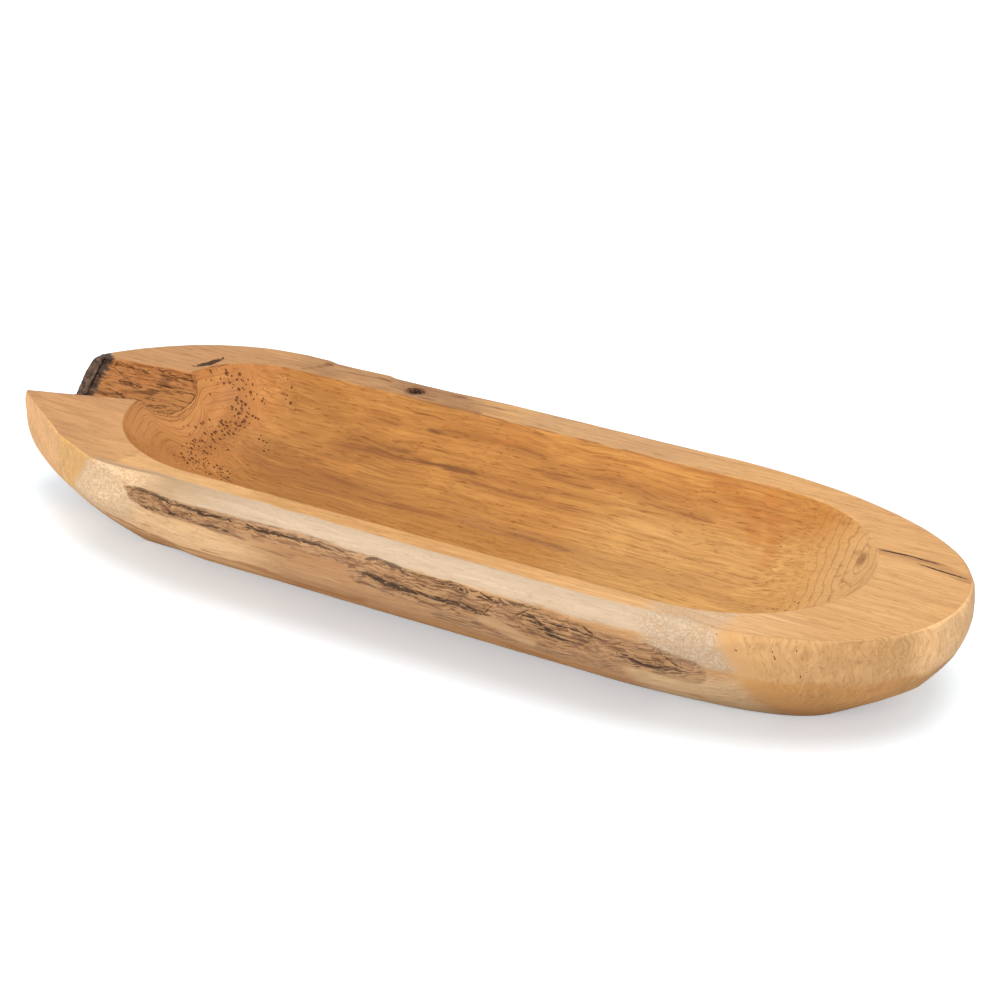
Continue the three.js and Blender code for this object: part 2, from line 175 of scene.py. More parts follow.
# Corners of the widest outline and of the base from the back round the left end, each with
# its section; the limb's back is a bend towards two points of its own. Places round the bowl
# count from the front right: the right tip is at 2, and these corners are at 4 to 11
corners = [
    ((rightCentre, halfWidth), (rightCentre, baseHalfWidth), "back"),
    ((-187, halfWidth), (-139, baseHalfWidth), "back"), ((-halfLength, 33), (-224, 25), "limb"),
    ((-halfLength, -33), (-224, -40), "horn"), ((-243, -77), (-202, -baseHalfWidth), "leftCheek"),
    ((-206, -93), (-182, -baseHalfWidth), "leftCheek"),
    ((-139, -halfWidth), (-139, -baseHalfWidth), "front"),
    ((rightCentre, -halfWidth), (rightCentre, -baseHalfWidth), "front"),
]
limbBend = {"widest": (-267, 100), "base": (-224, baseHalfWidth)}
spans = [rightSpan(*ends) for ends in zip(rightTurns, rightTurns[1:], rightSections, rightSections[1:])]
for (wide, low, a), (nextWide, nextLow, b) in zip(corners, corners[1:]):
    if b == "limb":
        spans.append((bend(wide, limbBend["widest"], nextWide), bend(low, limbBend["base"], nextLow), a, b))
    else:
        spans.append((line(wide, nextWide), line(low, nextLow), a, b))


# Widest outline, base outline and section at places round the bowl, 0 to 11
def outlineAt(place):
    place = np.mod(place, len(spans))
    index = np.minimum(place.astype(int), len(spans) - 1)
    t = place - index
    widest, base = np.zeros(place.shape + (2,)), np.zeros(place.shape + (2,))
    section = np.zeros(place.shape + (5,))
    for k, (wide, low, a, b) in enumerate(spans):
        here = index == k
        if here.any():
            widest[here], base[here] = wide(t[here]), low(t[here])
            first, last = np.array(sections[a], float), np.array(sections[b], float)
            section[here] = first + (last - first) * ease(t[here])[:, None]
    return widest, base, section


# Point of the outside: widest + direction to the base * inset(depth), where the inset is a
# quarter round, then chineInset t^2, then chineInset + (run - chineInset) t^fullness
def hullPoint(place, depth):
    place, depth = np.broadcast_arrays(np.asarray(place, float), np.asarray(depth, float))
    shape = place.shape
    widest, base, section = outlineAt(place.ravel())
    d = depth.ravel()
    roundDepth, roundInset, chineDepth, chineInset, fullness = section.T
    run = base - widest
    length = np.linalg.norm(run, axis=1)
    up = np.clip(1 - d / roundDepth, 0, 1)
    rounding = roundInset * (1 - np.sqrt(1 - up * up))
    side = chineInset * np.clip((d - roundDepth) / (chineDepth - roundDepth), 0, 1) ** 2
    below = np.clip((d - chineDepth) / (height - chineDepth), 0, 1)
    under = chineInset + (length - chineInset) * below ** fullness
    inset = np.where(d < roundDepth, rounding, np.where(d < chineDepth, side, under))
    at = widest + run / length[:, None] * inset[:, None]
    return np.concatenate([at, (height - d)[:, None]], 1).reshape(shape + (3,))


# Point of the hollow: from the spine out to the edge by share, and up by share^curve
def cavityPoint(edge, share):
    x = np.clip(edge[..., 0], spineLeft, spineRight)
    return np.stack([mix(x, edge[..., 0], share), edge[..., 1] * share,
                     height - cavityDepth * (1 - share ** cavityCurve)], -1)


# Middle, half width, depth and squareness of the notch at x, each between its two values
def notchAt(x):
    t = (notch["x"][0] - x) / (notch["x"][0] - notch["x"][1])
    horn, limb, depth = (mix(*notch[key], t) for key in ("horn", "limb", "depth"))
    return (horn + limb) / 2, (limb - horn) / 2, depth, mix(*notch["squareness"], np.clip(t, 0, 1))


# Half superellipse across the notch, hung from the rim
def notchPoint(x, degrees):
    middle, half, depth, squareness = notchAt(x)
    down, across = superPoint(degrees, depth, half, squareness)
    return np.stack([x + 0 * down, middle + across, height - down], -1)


# Values of a curve at equal shares of its length
def evenly(points, values, shares):
    length = running(lengthOf(np.diff(points, axis=0)))
    return np.interp(shares * length[-1], length, values)


# x of the cavity's left edge at y: centre - reach (1 - |y / width|^n)^(1/n)
def leftEdgeX(y):
    width = np.where(y > 0, cavityLeft["back"], cavityLeft["front"])
    power = np.where(y > 0, cavityLeft["backSquareness"], cavityLeft["frontSquareness"])
    beside = np.clip(np.abs(y) / width, 0, 1) ** power
    return cavityLeft["centre"] - cavityLeft["reach"] * (1 - beside) ** (1 / power)


# Where each line of the notch meets the end face (place round the bowl and depth) and the
# cavity wall (edge point and share), both by repeated substitution
def notchLines(degrees):
    x = np.full(degrees.shape, notch["x"][1])
    for _ in range(12):
        p = notchPoint(x, degrees)
        depth = height - p[:, 2]
        low, high = np.full(degrees.shape, 6.0), np.full(degrees.shape, 7.0)
        for _ in range(30):
            place = (low + high) / 2
            short = hullPoint(place, depth)[:, 1] > p[:, 1]
            low, high = np.where(short, place, low), np.where(short, high, place)
        x = hullPoint(place, depth)[:, 0]
    outX = x
    x = np.full(degrees.shape, notch["x"][0])
    for _ in range(40):
        p = notchPoint(x, degrees)
        share = np.clip(1 - (height - p[:, 2]) / cavityDepth, 0.01, 1) ** (1 / cavityCurve)
        edgeY = p[:, 1] / share
        x = mix(x, mix(spineLeft, leftEdgeX(edgeY), share), 0.7)
    # the wall's lines start evenly round the mouth, so that none of them crowd or cross at its lips
    mouth = lengthOf(np.diff(notchPoint(x, degrees), axis=0))
    shares = running(mouth) / mouth.sum()
    edgeY = mix(edgeY[0], edgeY[-1], shares)
    return place, depth, outX, np.stack([leftEdgeX(edgeY), edgeY], -1), share, x


# Lines round the bowl, anticlockwise from the front right
counts = {"right": 66, "side": 150, "limb": 84, "notch": 64, "horn": [26, 16, 28]}


def bowlLines():
    out = []

    def add(place, edge, **inNotch):
        n = len(place)
        plain = {key: np.full(n, np.nan) for key in ("degrees", "outX", "inX")}
        plain.update(place=place, edge=edge, depth=np.zeros(n), share=np.ones(n))
        out.append({**plain, **inNotch})

    degrees = np.arange(2 * counts["right"]) / counts["right"] * 90
    place = np.interp(degrees, rightTurns, [0, 1, 2, 3, 4])
    turn = np.radians(degrees - 90)
    width = np.where(degrees < 90, cavityRight["front"], cavityRight["back"])
    reach = cavityRight["reach"] * np.cos(turn)
    add(place, np.stack([cavityRight["centre"] + reach, width * np.sin(turn)], -1))
    t = np.arange(counts["side"]) / counts["side"]
    x = mix(cavityRight["centre"], cavityLeft["centre"], t)
    add(4 + t, np.stack([x, 0 * t + cavityRight["back"]], -1))

    ring = np.linspace(0, 180, counts["notch"] + 1)
    notchPlace, depth, outX, edge, share, inX = notchLines(ring)
    for side, start, end, lastEdge, n in (
            (1, 5.0, notchPlace[0], edge[0], counts["limb"]),
            (-1, notchPlace[-1], 10.0, edge[-1], sum(counts["horn"]))):
        half = "back" if side > 0 else "front"
        fine = 90 * (1 - np.cos(np.linspace(0, np.pi, 3000))) / 2
        dx, y = superPoint(fine, cavityLeft["reach"], cavityLeft[half], cavityLeft[half + "Squareness"])
        curve = np.stack([cavityLeft["centre"] - dx, side * y], -1)
        curve = curve[side * curve[:, 1] > side * lastEdge[1]]
        curve = np.concatenate([curve, lastEdge[None]])
        if side > 0:
            shares = np.arange(n) / n
            fine = np.linspace(start, end, 600)
            place = evenly(outlineAt(fine)[0], fine, shares)
        else:
            curve = curve[::-1]
            shares = (np.arange(n) + 1) / n
            place = np.interp(shares, running(counts["horn"]) / n, [7, 8, 9, 10])
        at = np.stack([evenly(curve, curve[:, k], shares) for k in (0, 1)], -1)
        add(place, at)
        if side > 0:
            add(notchPlace, edge, degrees=ring, depth=depth, outX=outX, share=share, inX=inX)
    t = (np.arange(counts["side"] - 1) + 1) / counts["side"]
    x = mix(cavityLeft["centre"], cavityRight["centre"], t)
    add(10 + t, np.stack([x, 0 * t - cavityRight["front"]], -1))
    return {key: np.concatenate([part[key] for part in out]) for key in out[0]}


ringCounts = {"base": 4, "under": 18, "chine": 8, "round": 14, "rim": 28, "wall": 60}
edgeGaps = [2.6, 1.7, 1.0, 0.45, 0.0]  # mm from the last rings of the rim to the hollow's edge
lipShares = [0.0027, 0.006, 0.0105, 0.016]  # the wall's first rings, as shares of the way down


# The whole skin as a grid: lines round the bowl by rings from the middle of the base, up the
# outside, over the rim and down the cavity to its middle line
def bowlGrid():
    lines = bowlLines()
    n = len(lines["place"])
    section = outlineAt(lines["place"])[2]
    roundDepth, chineDepth = section[:, 0], section[:, 2]
    rows, depths, kinds = [], [], []

    def add(row, depth, kind):
        rows.append(row)
        depths.append(depth)
        kinds.append(kind)

    def shares(name):
        return [k / ringCounts[name] for k in range(ringCounts[name])]

    foot = hullPoint(lines["place"], np.full(n, height))
    for t in shares("base"):
        add(mix(np.array([15.0, 0.0, 0.0]), foot, t), np.full(n, height), 0)
    levels = [mix(height, chineDepth, t) for t in shares("under")]
    levels += [mix(chineDepth, roundDepth, t) for t in shares("chine")]
    levels += [roundDepth * (1 - np.sin(t * math.pi / 2)) for t in shares("round")]
    for level in levels:
        d = lines["depth"] + level * (height - lines["depth"]) / height
        add(hullPoint(lines["place"], d), d, 1)
    start = hullPoint(lines["place"], lines["depth"])
    inNotch = ~np.isnan(lines["degrees"])
    rimEdge = np.concatenate([lines["edge"], np.full((n, 1), height)], 1)
    reach = np.where(inNotch, np.abs(lines["inX"] - lines["outX"]), lengthOf(rimEdge - start))
    last = 1 - edgeGaps[0] / reach
    ts = [last * k / ringCounts["rim"] for k in range(ringCounts["rim"])]
    for t in ts + [1 - gap / reach for gap in edgeGaps]:
        row = mix(start, rimEdge, t[:, None])
        x = mix(lines["outX"][inNotch], lines["inX"][inNotch], t[inNotch])
        row[inNotch] = notchPoint(x, lines["degrees"][inNotch])
        add(row, height - row[:, 2], 2)
    down = (np.arange(1, ringCounts["wall"] + 1) / ringCounts["wall"]) ** 1.12
    lip = rows[-1] - cavityPoint(lines["edge"], lines["share"])
    for t in np.concatenate([lipShares, lipShares[-1] + (1 - lipShares[-1]) * down]):
        share = lines["share"] * (1 - t)
        row = cavityPoint(lines["edge"], share) + lip * max(0, 1 - t / 0.3) ** 2
        add(row, height - row[:, 2], 3)
    return lines, np.stack(rows, 1), np.stack(depths, 1), np.array(kinds)


# Neighbours blended (a + 2 b + c) / 4 along an axis, by a weight
def soften(grid, weight, axis, times):
    for _ in range(times):
        if axis == 0:
            near = (np.roll(grid, 1, 0) + 2 * grid + np.roll(grid, -1, 0)) / 4
        else:
            near = grid.copy()
            near[:, 1:-1] = (grid[:, :-2] + 2 * grid[:, 1:-1] + grid[:, 2:]) / 4
        grid = grid + (near - grid) * weight[..., None]
    return grid


# Cross product of the steps along both ways of the grid
def gridNormals(grid):
    du = np.roll(grid, -1, 0) - np.roll(grid, 1, 0)
    dv = np.gradient(grid, axis=1)
    return unit(np.cross(du, dv))


# Quads of a grid whose first index runs round: (i, j), (i+1, j), (i+1, j+1), (i, j+1)
def gridFaces(rounds, rings):
    i, j = np.meshgrid(np.arange(rounds), np.arange(rings - 1), indexing="ij")
    k = (i + 1) % rounds
    return np.stack([i * rings + j, k * rings + j, k * rings + j + 1, i * rings + j + 1], -1).reshape(-1, 4)


# Mesh in metres from points in millimetres, with values and colours stored at its points,
# doubles merged and sharp edges marked by angle, and where the value crease is set
def newMesh(name, points, faces, values=None, colours=None, sharp=42):
    mesh = bpy.data.meshes.new(name)
    mesh.from_pydata((points.reshape(-1, 3) / 1000).tolist(), [], faces.tolist())
    for key, value in (values or {}).items():
        kind = "FLOAT_VECTOR" if value.ndim == 3 else "FLOAT"
        layer = mesh.attributes.new(key, kind, "POINT")
        kind = "vector" if value.ndim == 3 else "value"
        layer.data.foreach_set(kind, np.ascontiguousarray(value, np.float32).ravel())
    for key, value in (colours or {}).items():
        layer = mesh.attributes.new(key, "FLOAT_COLOR", "POINT")
        rgba = np.concatenate([value.reshape(-1, 3), np.ones((value.size // 3, 1))], 1)
        layer.data.foreach_set("color", rgba.astype(np.float32).ravel())
    bm = bmesh.new()
    bm.from_mesh(mesh)
    bmesh.ops.remove_doubles(bm, verts=bm.verts, dist=2e-6)
    bm.to_mesh(mesh)
    bm.free()
    mesh.polygons.foreach_set("use_smooth", np.ones(len(mesh.polygons), bool))
    mesh.set_sharp_from_angle(angle=math.radians(sharp))
    if values and "crease" in values:
        marks = np.zeros(len(mesh.vertices), np.float32)
        mesh.attributes["crease"].data.foreach_get("value", marks)
        ends = np.zeros(2 * len(mesh.edges), np.int32)
        mesh.edges.foreach_get("vertices", ends)
        edges = np.zeros(len(mesh.edges), bool)
        layer = mesh.attributes.get("sharp_edge") or mesh.attributes.new("sharp_edge", "BOOLEAN", "EDGE")
        layer.data.foreach_get("value", edges)
        layer.data.foreach_set("value", edges | (marks[ends].reshape(-1, 2).min(axis=1) > 0.5))
    piece = bpy.data.objects.new(name, mesh)
    bpy.context.scene.collection.objects.link(piece)
    return piece


# A closed skin over one CAD node: its grid, the values stored on it, its slot, which is not used, and its
# material
def addSkin(node, grid, values, slot, material):
    words = node.split("_")
    name = words[0] + "".join(word.capitalize() for word in words[1:])
    piece = newMesh(name, grid, gridFaces(*grid.shape[:2])[:, ::-1], values, sharp=60)
    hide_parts(node)
    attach(piece, "root")
    piece.data.materials.append(material)


# Linear colour from 0 to 255: c / 12.92 in the darks, else ((c + 0.055) / 1.055)^2.4
def linear(r, g, b):
    c = np.array([r, g, b], float) / 255
    return np.where(c <= 0.04045, c / 12.92, ((c + 0.055) / 1.055) ** 2.4)


# A shader value that can be calculated with: each operator adds one Math node
class Value:
    def __init__(self, tree, socket):
        self.tree, self.socket = tree, socket

    def node(self, kind, inputs=None, out=0, **settings):
        made = self.tree.nodes.new(kind)
        for key, setting in settings.items():
            setattr(made, key, setting)
        for name, given in (inputs or {}).items():
            if isinstance(given, Value):
                self.tree.links.new(given.socket, made.inputs[name])
            else:
                made.inputs[name].default_value = given
        return Value(self.tree, made.outputs[out])

    def math(self, operation, *given):
        return self.node("ShaderNodeMath", dict(enumerate(given)), operation=operation)

    def __add__(self, other):
        return self.math("ADD", self, other)

    def __sub__(self, other):
        return self.math("SUBTRACT", self, other)

    def __rsub__(self, other):
        return self.math("SUBTRACT", other, self)

    def __mul__(self, other):
        return self.math("MULTIPLY", self, other)

    def __pow__(self, other):
        return self.math("POWER", self, other)

    __radd__ = __add__
    __rmul__ = __mul__

    def clamp(self):
        return self.node("ShaderNodeClamp", {0: self})

    def ramp(self, low, high, start=0.0, end=1.0):
        return self.node("ShaderNodeMapRange", {0: self, 1: low, 2: high, 3: start, 4: end},
                         interpolation_type="SMOOTHSTEP")

    def part(self, index):
        return self.node("ShaderNodeSeparateXYZ", {0: self}, out=index)

    def vector(self, x, y, z):
        return self.node("ShaderNodeCombineXYZ", {0: x, 1: y, 2: z})

    def move(self, operation, other):
        return self.node("ShaderNodeVectorMath", {0: self, 1: other}, operation=operation)

    def length(self):
        return self.node("ShaderNodeVectorMath", {0: self}, out=1, operation="LENGTH")

    def attribute(self, name, out=2):
        return self.node("ShaderNodeAttribute", out=out, attribute_name=name)

    def noise(self, at, scale, detail=3.0, roughness=0.55, distortion=0.0, out=0):
        return self.node("ShaderNodeTexNoise", {"Vector": at, "Scale": scale, "Detail": detail,
                         "Roughness": roughness, "Distortion": distortion}, out=out)

    # Distance to the nearest cell point, and that cell's own random vector
    def cells(self, at, scale):
        made = self.node("ShaderNodeTexVoronoi", {"Vector": at, "Scale": scale})
        return made, Value(self.tree, made.socket.node.outputs[1])

    # 1 where the value is within close of level, 0 past far
    def near(self, level, far, close=0.0):
        away = self - level
        return away.math("ABSOLUTE", away).ramp(far, close)

    # Two colours mixed by this value
    def between(self, first, second):
        return self.node("ShaderNodeMix", {0: self, 6: first, 7: second}, out=2, data_type="RGBA")

    def mixed(self, other, share):
        return self.node("ShaderNodeMix", {0: share, 6: self, 7: other}, out=2, data_type="RGBA")

    def stretched(self, x, y=1.0, z=1.0):
        return self.move("MULTIPLY", (x, y, z))

    # This place moved by coloured noise, up to half of reach each way
    def warped(self, scale, reach):
        push = self.noise(self, scale, 2.0, out=1).move("SUBTRACT", (0.5, 0.5, 0.5))
        return self.move("ADD", push.stretched(*reach))

    # Object coordinates in millimetres
    def place(self):
        return self.node("ShaderNodeVectorMath", {0: self.node("ShaderNodeTexCoord", out=3), 3: 1000.0},
                         operation="SCALE")


def colour(r, g, b):
    return (*linear(r, g, b).tolist(), 1.0)


def newMaterial(name, roughness=0.6, specular=0.35):
    material = bpy.data.materials.new(name)
    material.use_nodes = True
    tree = material.node_tree
    shader = next(n for n in tree.nodes if n.type == "BSDF_PRINCIPLED")
    shader.inputs["Roughness"].default_value = roughness
    shader.inputs["Specular IOR Level"].default_value = specular
    return material, shader, Value(tree, None)


def wire(shader, name, value):
    value.tree.links.new(value.socket, shader.inputs[name])


def bump(shader, heightMm, strength=1.0):
    normal = heightMm.node("ShaderNodeBump", {"Strength": strength, "Distance": 0.001, "Height": heightMm})
    wire(shader, "Normal", normal)


print("scene: helpers ready")

# The bowl's wood
lines, grid, depths, kinds = bowlGrid()
rounds, rings = grid.shape[:2]
place = np.repeat(lines["place"][:, None], rings, 1)
inNotch = np.repeat(~np.isnan(lines["degrees"])[:, None], rings, 1)
edgeRing = int(np.argmax(kinds == 3)) - 1
base, outside, strip, wall = (np.repeat((kinds == k)[None], rounds, 0) for k in range(4))
shell = strip | outside
sunk = np.clip((height - grid[..., 2]) / cavityDepth, 0, 1)

# Rounded rim edges: a few rings each side of the cavity edge, and the notch's own edges
nearEdge = np.exp(-((np.arange(rings) - edgeRing) / 3.2) ** 2)
grid = soften(grid, np.repeat(nearEdge[None], rounds, 0), 1, 5)
lips = [int(np.argmax(inNotch[:, 0])), int(rounds - 1 - np.argmax(inNotch[::-1, 0]))]
fromLips = [np.arange(rounds) - lip for lip in lips]
notchEdge = sum(np.exp(-(away / 1.8) ** 2) for away in fromLips)
grid = soften(grid, np.clip(notchEdge, 0, 1)[:, None] * (strip | (wall & (sunk < 0.5))), 0, 4)

# Lengths over the surface: across from the cavity edge (down the wall is above zero), round
# that edge and round the widest outline
across = np.cumsum(lengthOf(np.diff(grid, axis=1)), axis=1)
across = np.concatenate([np.zeros((rounds, 1)), across], 1)
across = across - across[:, edgeRing:edgeRing + 1]


def roundLength(curve):
    return np.repeat(running(lengthOf(np.diff(curve, axis=0)))[:, None], rings, 1)


around = roundLength(lines["edge"])
girth = roundLength(outlineAt(lines["place"])[0])

normals = gridNormals(grid)
spine = ramp(depths, 44, 47.5) * wall
normals = unit(normals * (1 - spine[..., None]) + spine[..., None] * np.array([0, 0, 1.0]))
onFront = outside & ((place > 8) | (place < 1.3))
x, y, z = grid[..., 0], grid[..., 1], grid[..., 2]
limbFace = inNotch * (strip | (wall & (across < 1.0)))


# 1 on a path over two or three coordinates, eased off across its width. A stretch above one
# measures x shorter, so that the ends taper
def stroke(q, path, width, stretch=1.0):
    scale = np.array([1 / stretch] + [1.0] * (q.shape[-1] - 1))
    nearest = np.full(q.shape[:-1], 1e9)
    for a, b in zip(path, path[1:]):
        a, d = np.array(a) * scale, (np.array(b, float) - np.array(a)) * scale
        t = np.clip(((q * scale - a) @ d) / (d @ d), 0, 1)
        nearest = np.minimum(nearest, lengthOf(q * scale - a - d * t[..., None]))
    return fall(nearest, width * 0.25, width)


# Strongest of several strokes: path, width and strength each
def strongest(q, table, stretch=1.0):
    return np.max([stroke(q, path, width, stretch) * strength for path, width, strength in table], axis=0)


# Shallow hollows left by the tools, mostly into the wood and less on the sanded rim. Old wood
# between horn and limb is furrowed along its grain
wobble = 0.3 + 0.3 * noise(grid, (60, 26, 26), 3, 2)
gouges = 0.28 * noise(grid, (24, 9, 9), 11, 2)
furrow = np.abs(noise(grid, (38, 2.6, 2.6), 17, 3))
amount = np.where(outside, wobble + 0.6 * gouges, np.where(strip, 0.2 + 0.4 * wobble, wobble + gouges))
amount = amount * np.where(base, 0, np.where(outside, ramp(z, 0, 8), 1))
lipFade = ramp(np.abs(fromLips[0]), 0, 3) * ramp(np.abs(fromLips[1]), 0, 6)
amount = amount + limbFace * lipFade[:, None] * (0.3 + 1.3 * np.exp(-(furrow / 0.12) ** 2))
backStep = shell * (place > 3.9) * (place < 5.6) * fall(depths, 8, 26)
backSteps = (ramp(x, -168, -161) - 0.4 * ramp(x, -150, -122) + 0.8 * ramp(x, -122, -117)
             - 1.4 * ramp(x, -100, -20))
amount = amount + backStep * backSteps * ramp(y, 84, 100)
amount = amount - 0.35 * outside * ramp(depths, 12, 24) * ramp(z, 0, 8)
# Furrows down the left wall, the split in the limb's top and the low rise in the floor
solid = grid + 0
wallFurrows = [
    ([(-226, 57, 71), (-219, 54, 61), (-214, 44, 53), (-210, 27, 46)], 5, 0.9),
    ([(-222, 63, 71), (-206, 62, 58), (-196, 53, 46)], 5, 0.7),
    ([(-186, 77, 69), (-175, 70, 57), (-173, 64, 50)], 4, 0.7),
    ([(-190, -1, 33), (-182, 2, 29), (-173, 1, 26)], 3, 0.8),
]
amount = amount + wall * sum(deep * stroke(solid, path, width) for path, width, deep in wallFurrows)
amount = amount + strip * 1.8 * stroke(grid[..., :2], [(-237, 53), (-231, 59), (-230, 70)], 2.4)
amount = amount - 0.35 * stroke(grid[..., :2], [(5, 23), (12, 23)], 5) * wall * (z < 30)
grid = grid - normals * np.clip(amount, -0.4, 3)[..., None]

# Facets: points beyond a plane fall back to it. Direction round and up in degrees, mm shaved
rightFacets = [(-70, 6, 1.0), (-50, 10, 1.3), (-31, 3, 1.7), (-9, 4, 1.8), (14, 6, 1.5), (34, 6, 1.4),
               (54, 8, 1.2), (72, 10, 1.0), (-56, -38, 0.9), (-30, -40, 1.4), (-8, -34, 1.8), (16, -40, 1.0),
               (44, -38, 0.8)]
hornFacets = [(-160, 30, 1.6), (165, 30, 1.2), (-140, 12, 0.8)]


def facet(grid, where, facets):
    for turn, up, shaved in facets:
        a, e = math.radians(turn), math.radians(up)
        normal = np.array([math.cos(a) * math.cos(e), math.sin(a) * math.cos(e), math.sin(e)])
        beyond = grid @ normal
        over = np.clip(beyond - (beyond[where > 0.5].max() - shaved), 0, None)
        grid = grid - normal * (over * where)[..., None]
    return grid


rightEnd = outside * (place < 4) * (x > 110) * ramp(z, 0, 5) * fall(z, 70.6, 71.8)
grid = facet(grid, rightEnd, rightFacets)
grid = facet(grid, shell * (x < -286) * (y < -20) * (z > 40) * 1.0, hornFacets)

# Seats: the wood falls back under each piece of bark and each knot
frontPlaces = np.linspace(8.02, 12.2, 3000)
frontX = outlineAt(frontPlaces)[0][:, 0]


# Place round the bowl where the front flank has this x
def frontPlace(px):
    return np.interp(px, frontX, frontPlaces)


# Millimetres that the wood falls back under a piece of bark and under a knot
seatDepth = {"bark": 2.6, "knot": 2.2}
# Each bark's outline: distance from the left end, top and bottom depth below the rim
barkOutlines = {
    "flank_bark_upper_strip": [
        (133, 9.5, 12), (143, 6, 19), (156, 6, 18), (176, 6.5, 15), (194, 7, 12), (228, 7, 12.5),
        (260, 7, 10.5), (289, 8, 9.2)],
    "flank_bark_middle_patch": [
        (302, 14.5, 18.5), (313, 12.8, 22.8), (329, 9.4, 25.9), (345, 8, 24.8), (360, 7.5, 27.4),
        (377, 8, 24.4), (388, 10.4, 13.6)],
    "flank_bark_lower_patch": [
        (398, 14.6, 21.3), (408, 9.6, 28.6), (420, 8.4, 32.7), (436, 9.3, 28.9), (450, 13.3, 21.2)],
    "flank_bark_right_tip": [
        (456, 17, 23), (466, 14, 26.5), (476, 15, 31), (487, 18.5, 29.3), (496, 25.3, 27.6)],
}
seat = np.zeros(x.shape)
for stations in barkOutlines.values():
    at = np.array(stations, float)
    stationX = at[:, 0] - halfLength
    top, bottom = np.interp(x, stationX, at[:, 1]), np.interp(x, stationX, at[:, 2])
    inX = band(x, stationX[0] + 4, stationX[-1] - 4, 2.5)
    seat = np.maximum(seat, onFront * inX * ramp(depths, top + 0.6, top + 3.0)
                      * fall(depths, bottom - 3.0, bottom - 0.6))
grid = grid - normals * (seatDepth["bark"] * seat)[..., None]

knots = {
    "end_wall_dead_knot": {"centre": (232.3, 40.9, 60.1), "out": (-0.70, -0.34, 0.63),
                           "along": (-0.45, 0.89, 0), "size": (10, 8, 8), "seed": 61},
    "back_rim_dead_knot": {"centre": (-95, 90, 71.9), "out": (0, 0, 1), "along": (1, 0, 0),
                           "size": (13, 10, 12), "seed": 67},
    "limb_pin_knot": {"centre": (-251, 38.6, 61.4), "out": (-0.1, -0.75, 0.65), "along": (1, 0.1, 0),
                      "size": (9, 6, 6), "seed": 71},
}
knotNear = np.full(x.shape, 99.0)
for knot in knots.values():
    away = lengthOf(solid - np.array(knot["centre"], float))
    size = (knot["size"][0] + knot["size"][1]) / 4
    knotNear = np.minimum(knotNear, away - size)
    grid = grid - normals * (seatDepth["knot"] * fall(away, size - 2.4, size - 0.4))[..., None]

# The limb's end, cut back to the plane that the bark sits on
limbCut = {"point": (-293.0, 31.5, 72.0), "slant": 142, "lean": 36, "from": -7, "below": -30}
planePoint = np.array(limbCut["point"])
slant, lean = math.radians(limbCut["slant"]), math.radians(limbCut["lean"])
planeAlong = np.array([math.cos(slant), math.sin(slant), 0])
planeOut = np.array([-math.sin(slant) * math.cos(lean), math.cos(slant) * math.cos(lean), math.sin(lean)])
planeUp = np.cross(planeAlong, planeOut)


# Whether an offset from the plane's point lies beside the cut face
def besideCut(offset):
    return (offset @ planeAlong > limbCut["from"]) & (offset @ planeUp > limbCut["below"])


offset = grid - planePoint
beside = besideCut(offset) * (x < -275)
over = (offset @ planeOut + 0.3) * beside * (x < -280)
grid = grid - planeOut * np.clip(over, 0, None)[..., None]
grid[..., 0] = np.maximum(grid[..., 0], 0.05 - halfLength)
grid[..., 2] = np.maximum(grid[..., 2], 0)
x, y, z = grid[..., 0], grid[..., 1], grid[..., 2]

# Colours by zone, as linear red, green and blue, blended by soft masks
wander = noise(grid, (45, 14, 14), 21, 3)
fine = noise(grid, (16, 4, 4), 25, 3)
broad = noise(grid, (150, 22, 16), 29, 3)
tone = np.broadcast_to(linear(214, 162, 104), grid.shape).copy()


def paint(rgb, mask):
    global tone
    tone = mix(tone, linear(*rgb), np.clip(mask, 0, 1)[..., None])


cavity = wall * 1.0
front = shell & ((place > 9.2) | (place < 1))
paint((204, 150, 98), strip * fall(x, -250, -140))
paint((190, 140, 92), shell * ramp(place, 5.0, 5.3) * fall(place, 6.2, 6.4) * 0.8)
paint((208, 154, 94), front * strip * fall(x, 20, 150) * ramp(x, -235, -200))
paint((232, 180, 120), front * strip * band(x, -205, -110, 35) * 0.6)
paint((222, 174, 122), front * strip * ramp(x, 120, 200) * fall(x, 215, 260) * 0.7)
backRim = shell * (place > 3.6) * fall(place, 5.0, 5.3)
paint((164, 118, 80), backRim * band(x, -160, -70, 50) * (0.75 + 0.6 * wander))
paint((196, 152, 110), backRim * ramp(x, -40, 0) * fall(x, 60, 160) * 0.5)
paint((192, 132, 66), cavity)
paint((174, 118, 60), cavity * fall(x, -130, -40) * ramp(sunk, 0.4, 0.9) * 0.85)
paint((214, 164, 98), cavity * ramp(x, 20, 90) * fall(y, 54, 72) * 0.75)
paint((174, 120, 62), cavity * stroke(solid, [(-178, 64, 54), (-145, 67, 52)], 20) * 0.5)
paint((220, 174, 118), cavity * ramp(x, 184, 228) * fall(y, 40, 80) * 0.85)
paint((192, 128, 68), cavity * ramp(-x, 170, 200))
roundMouth = [(-212, 48, 62), (-215, 15, 50), (-228, -8, 60), (-222, -30, 62)]
paint((206, 142, 82), cavity * stroke(solid, roundMouth, 18))
# Painted shade: a darker band down the left wall, along the crease where the end wall turns to the floor
paint((166, 108, 54), cavity * stroke(solid, [(-214, 60, 62), (-199, 44, 44), (-201, 10, 40)], 12) * 0.45)
paint((190, 128, 72), limbFace)
flank = onFront * ramp(depths, 7, 14)
paint((196, 146, 98), outside * ramp(depths, 5, 12))
paint((236, 190, 138), onFront * ramp(depths, 12, 20) * fall(x, -110, -40))
paint((192, 142, 96), onFront * ramp(depths, 12, 20) * band(x, -50, 150, 40) * 0.85)
paint((196, 142, 84), onFront * ramp(depths, 38, 48) * fall(x, 100, 160) * 0.7)
paint((212, 172, 126), onFront * ramp(depths, 24, 34) * band(x, 165, 212, 14))
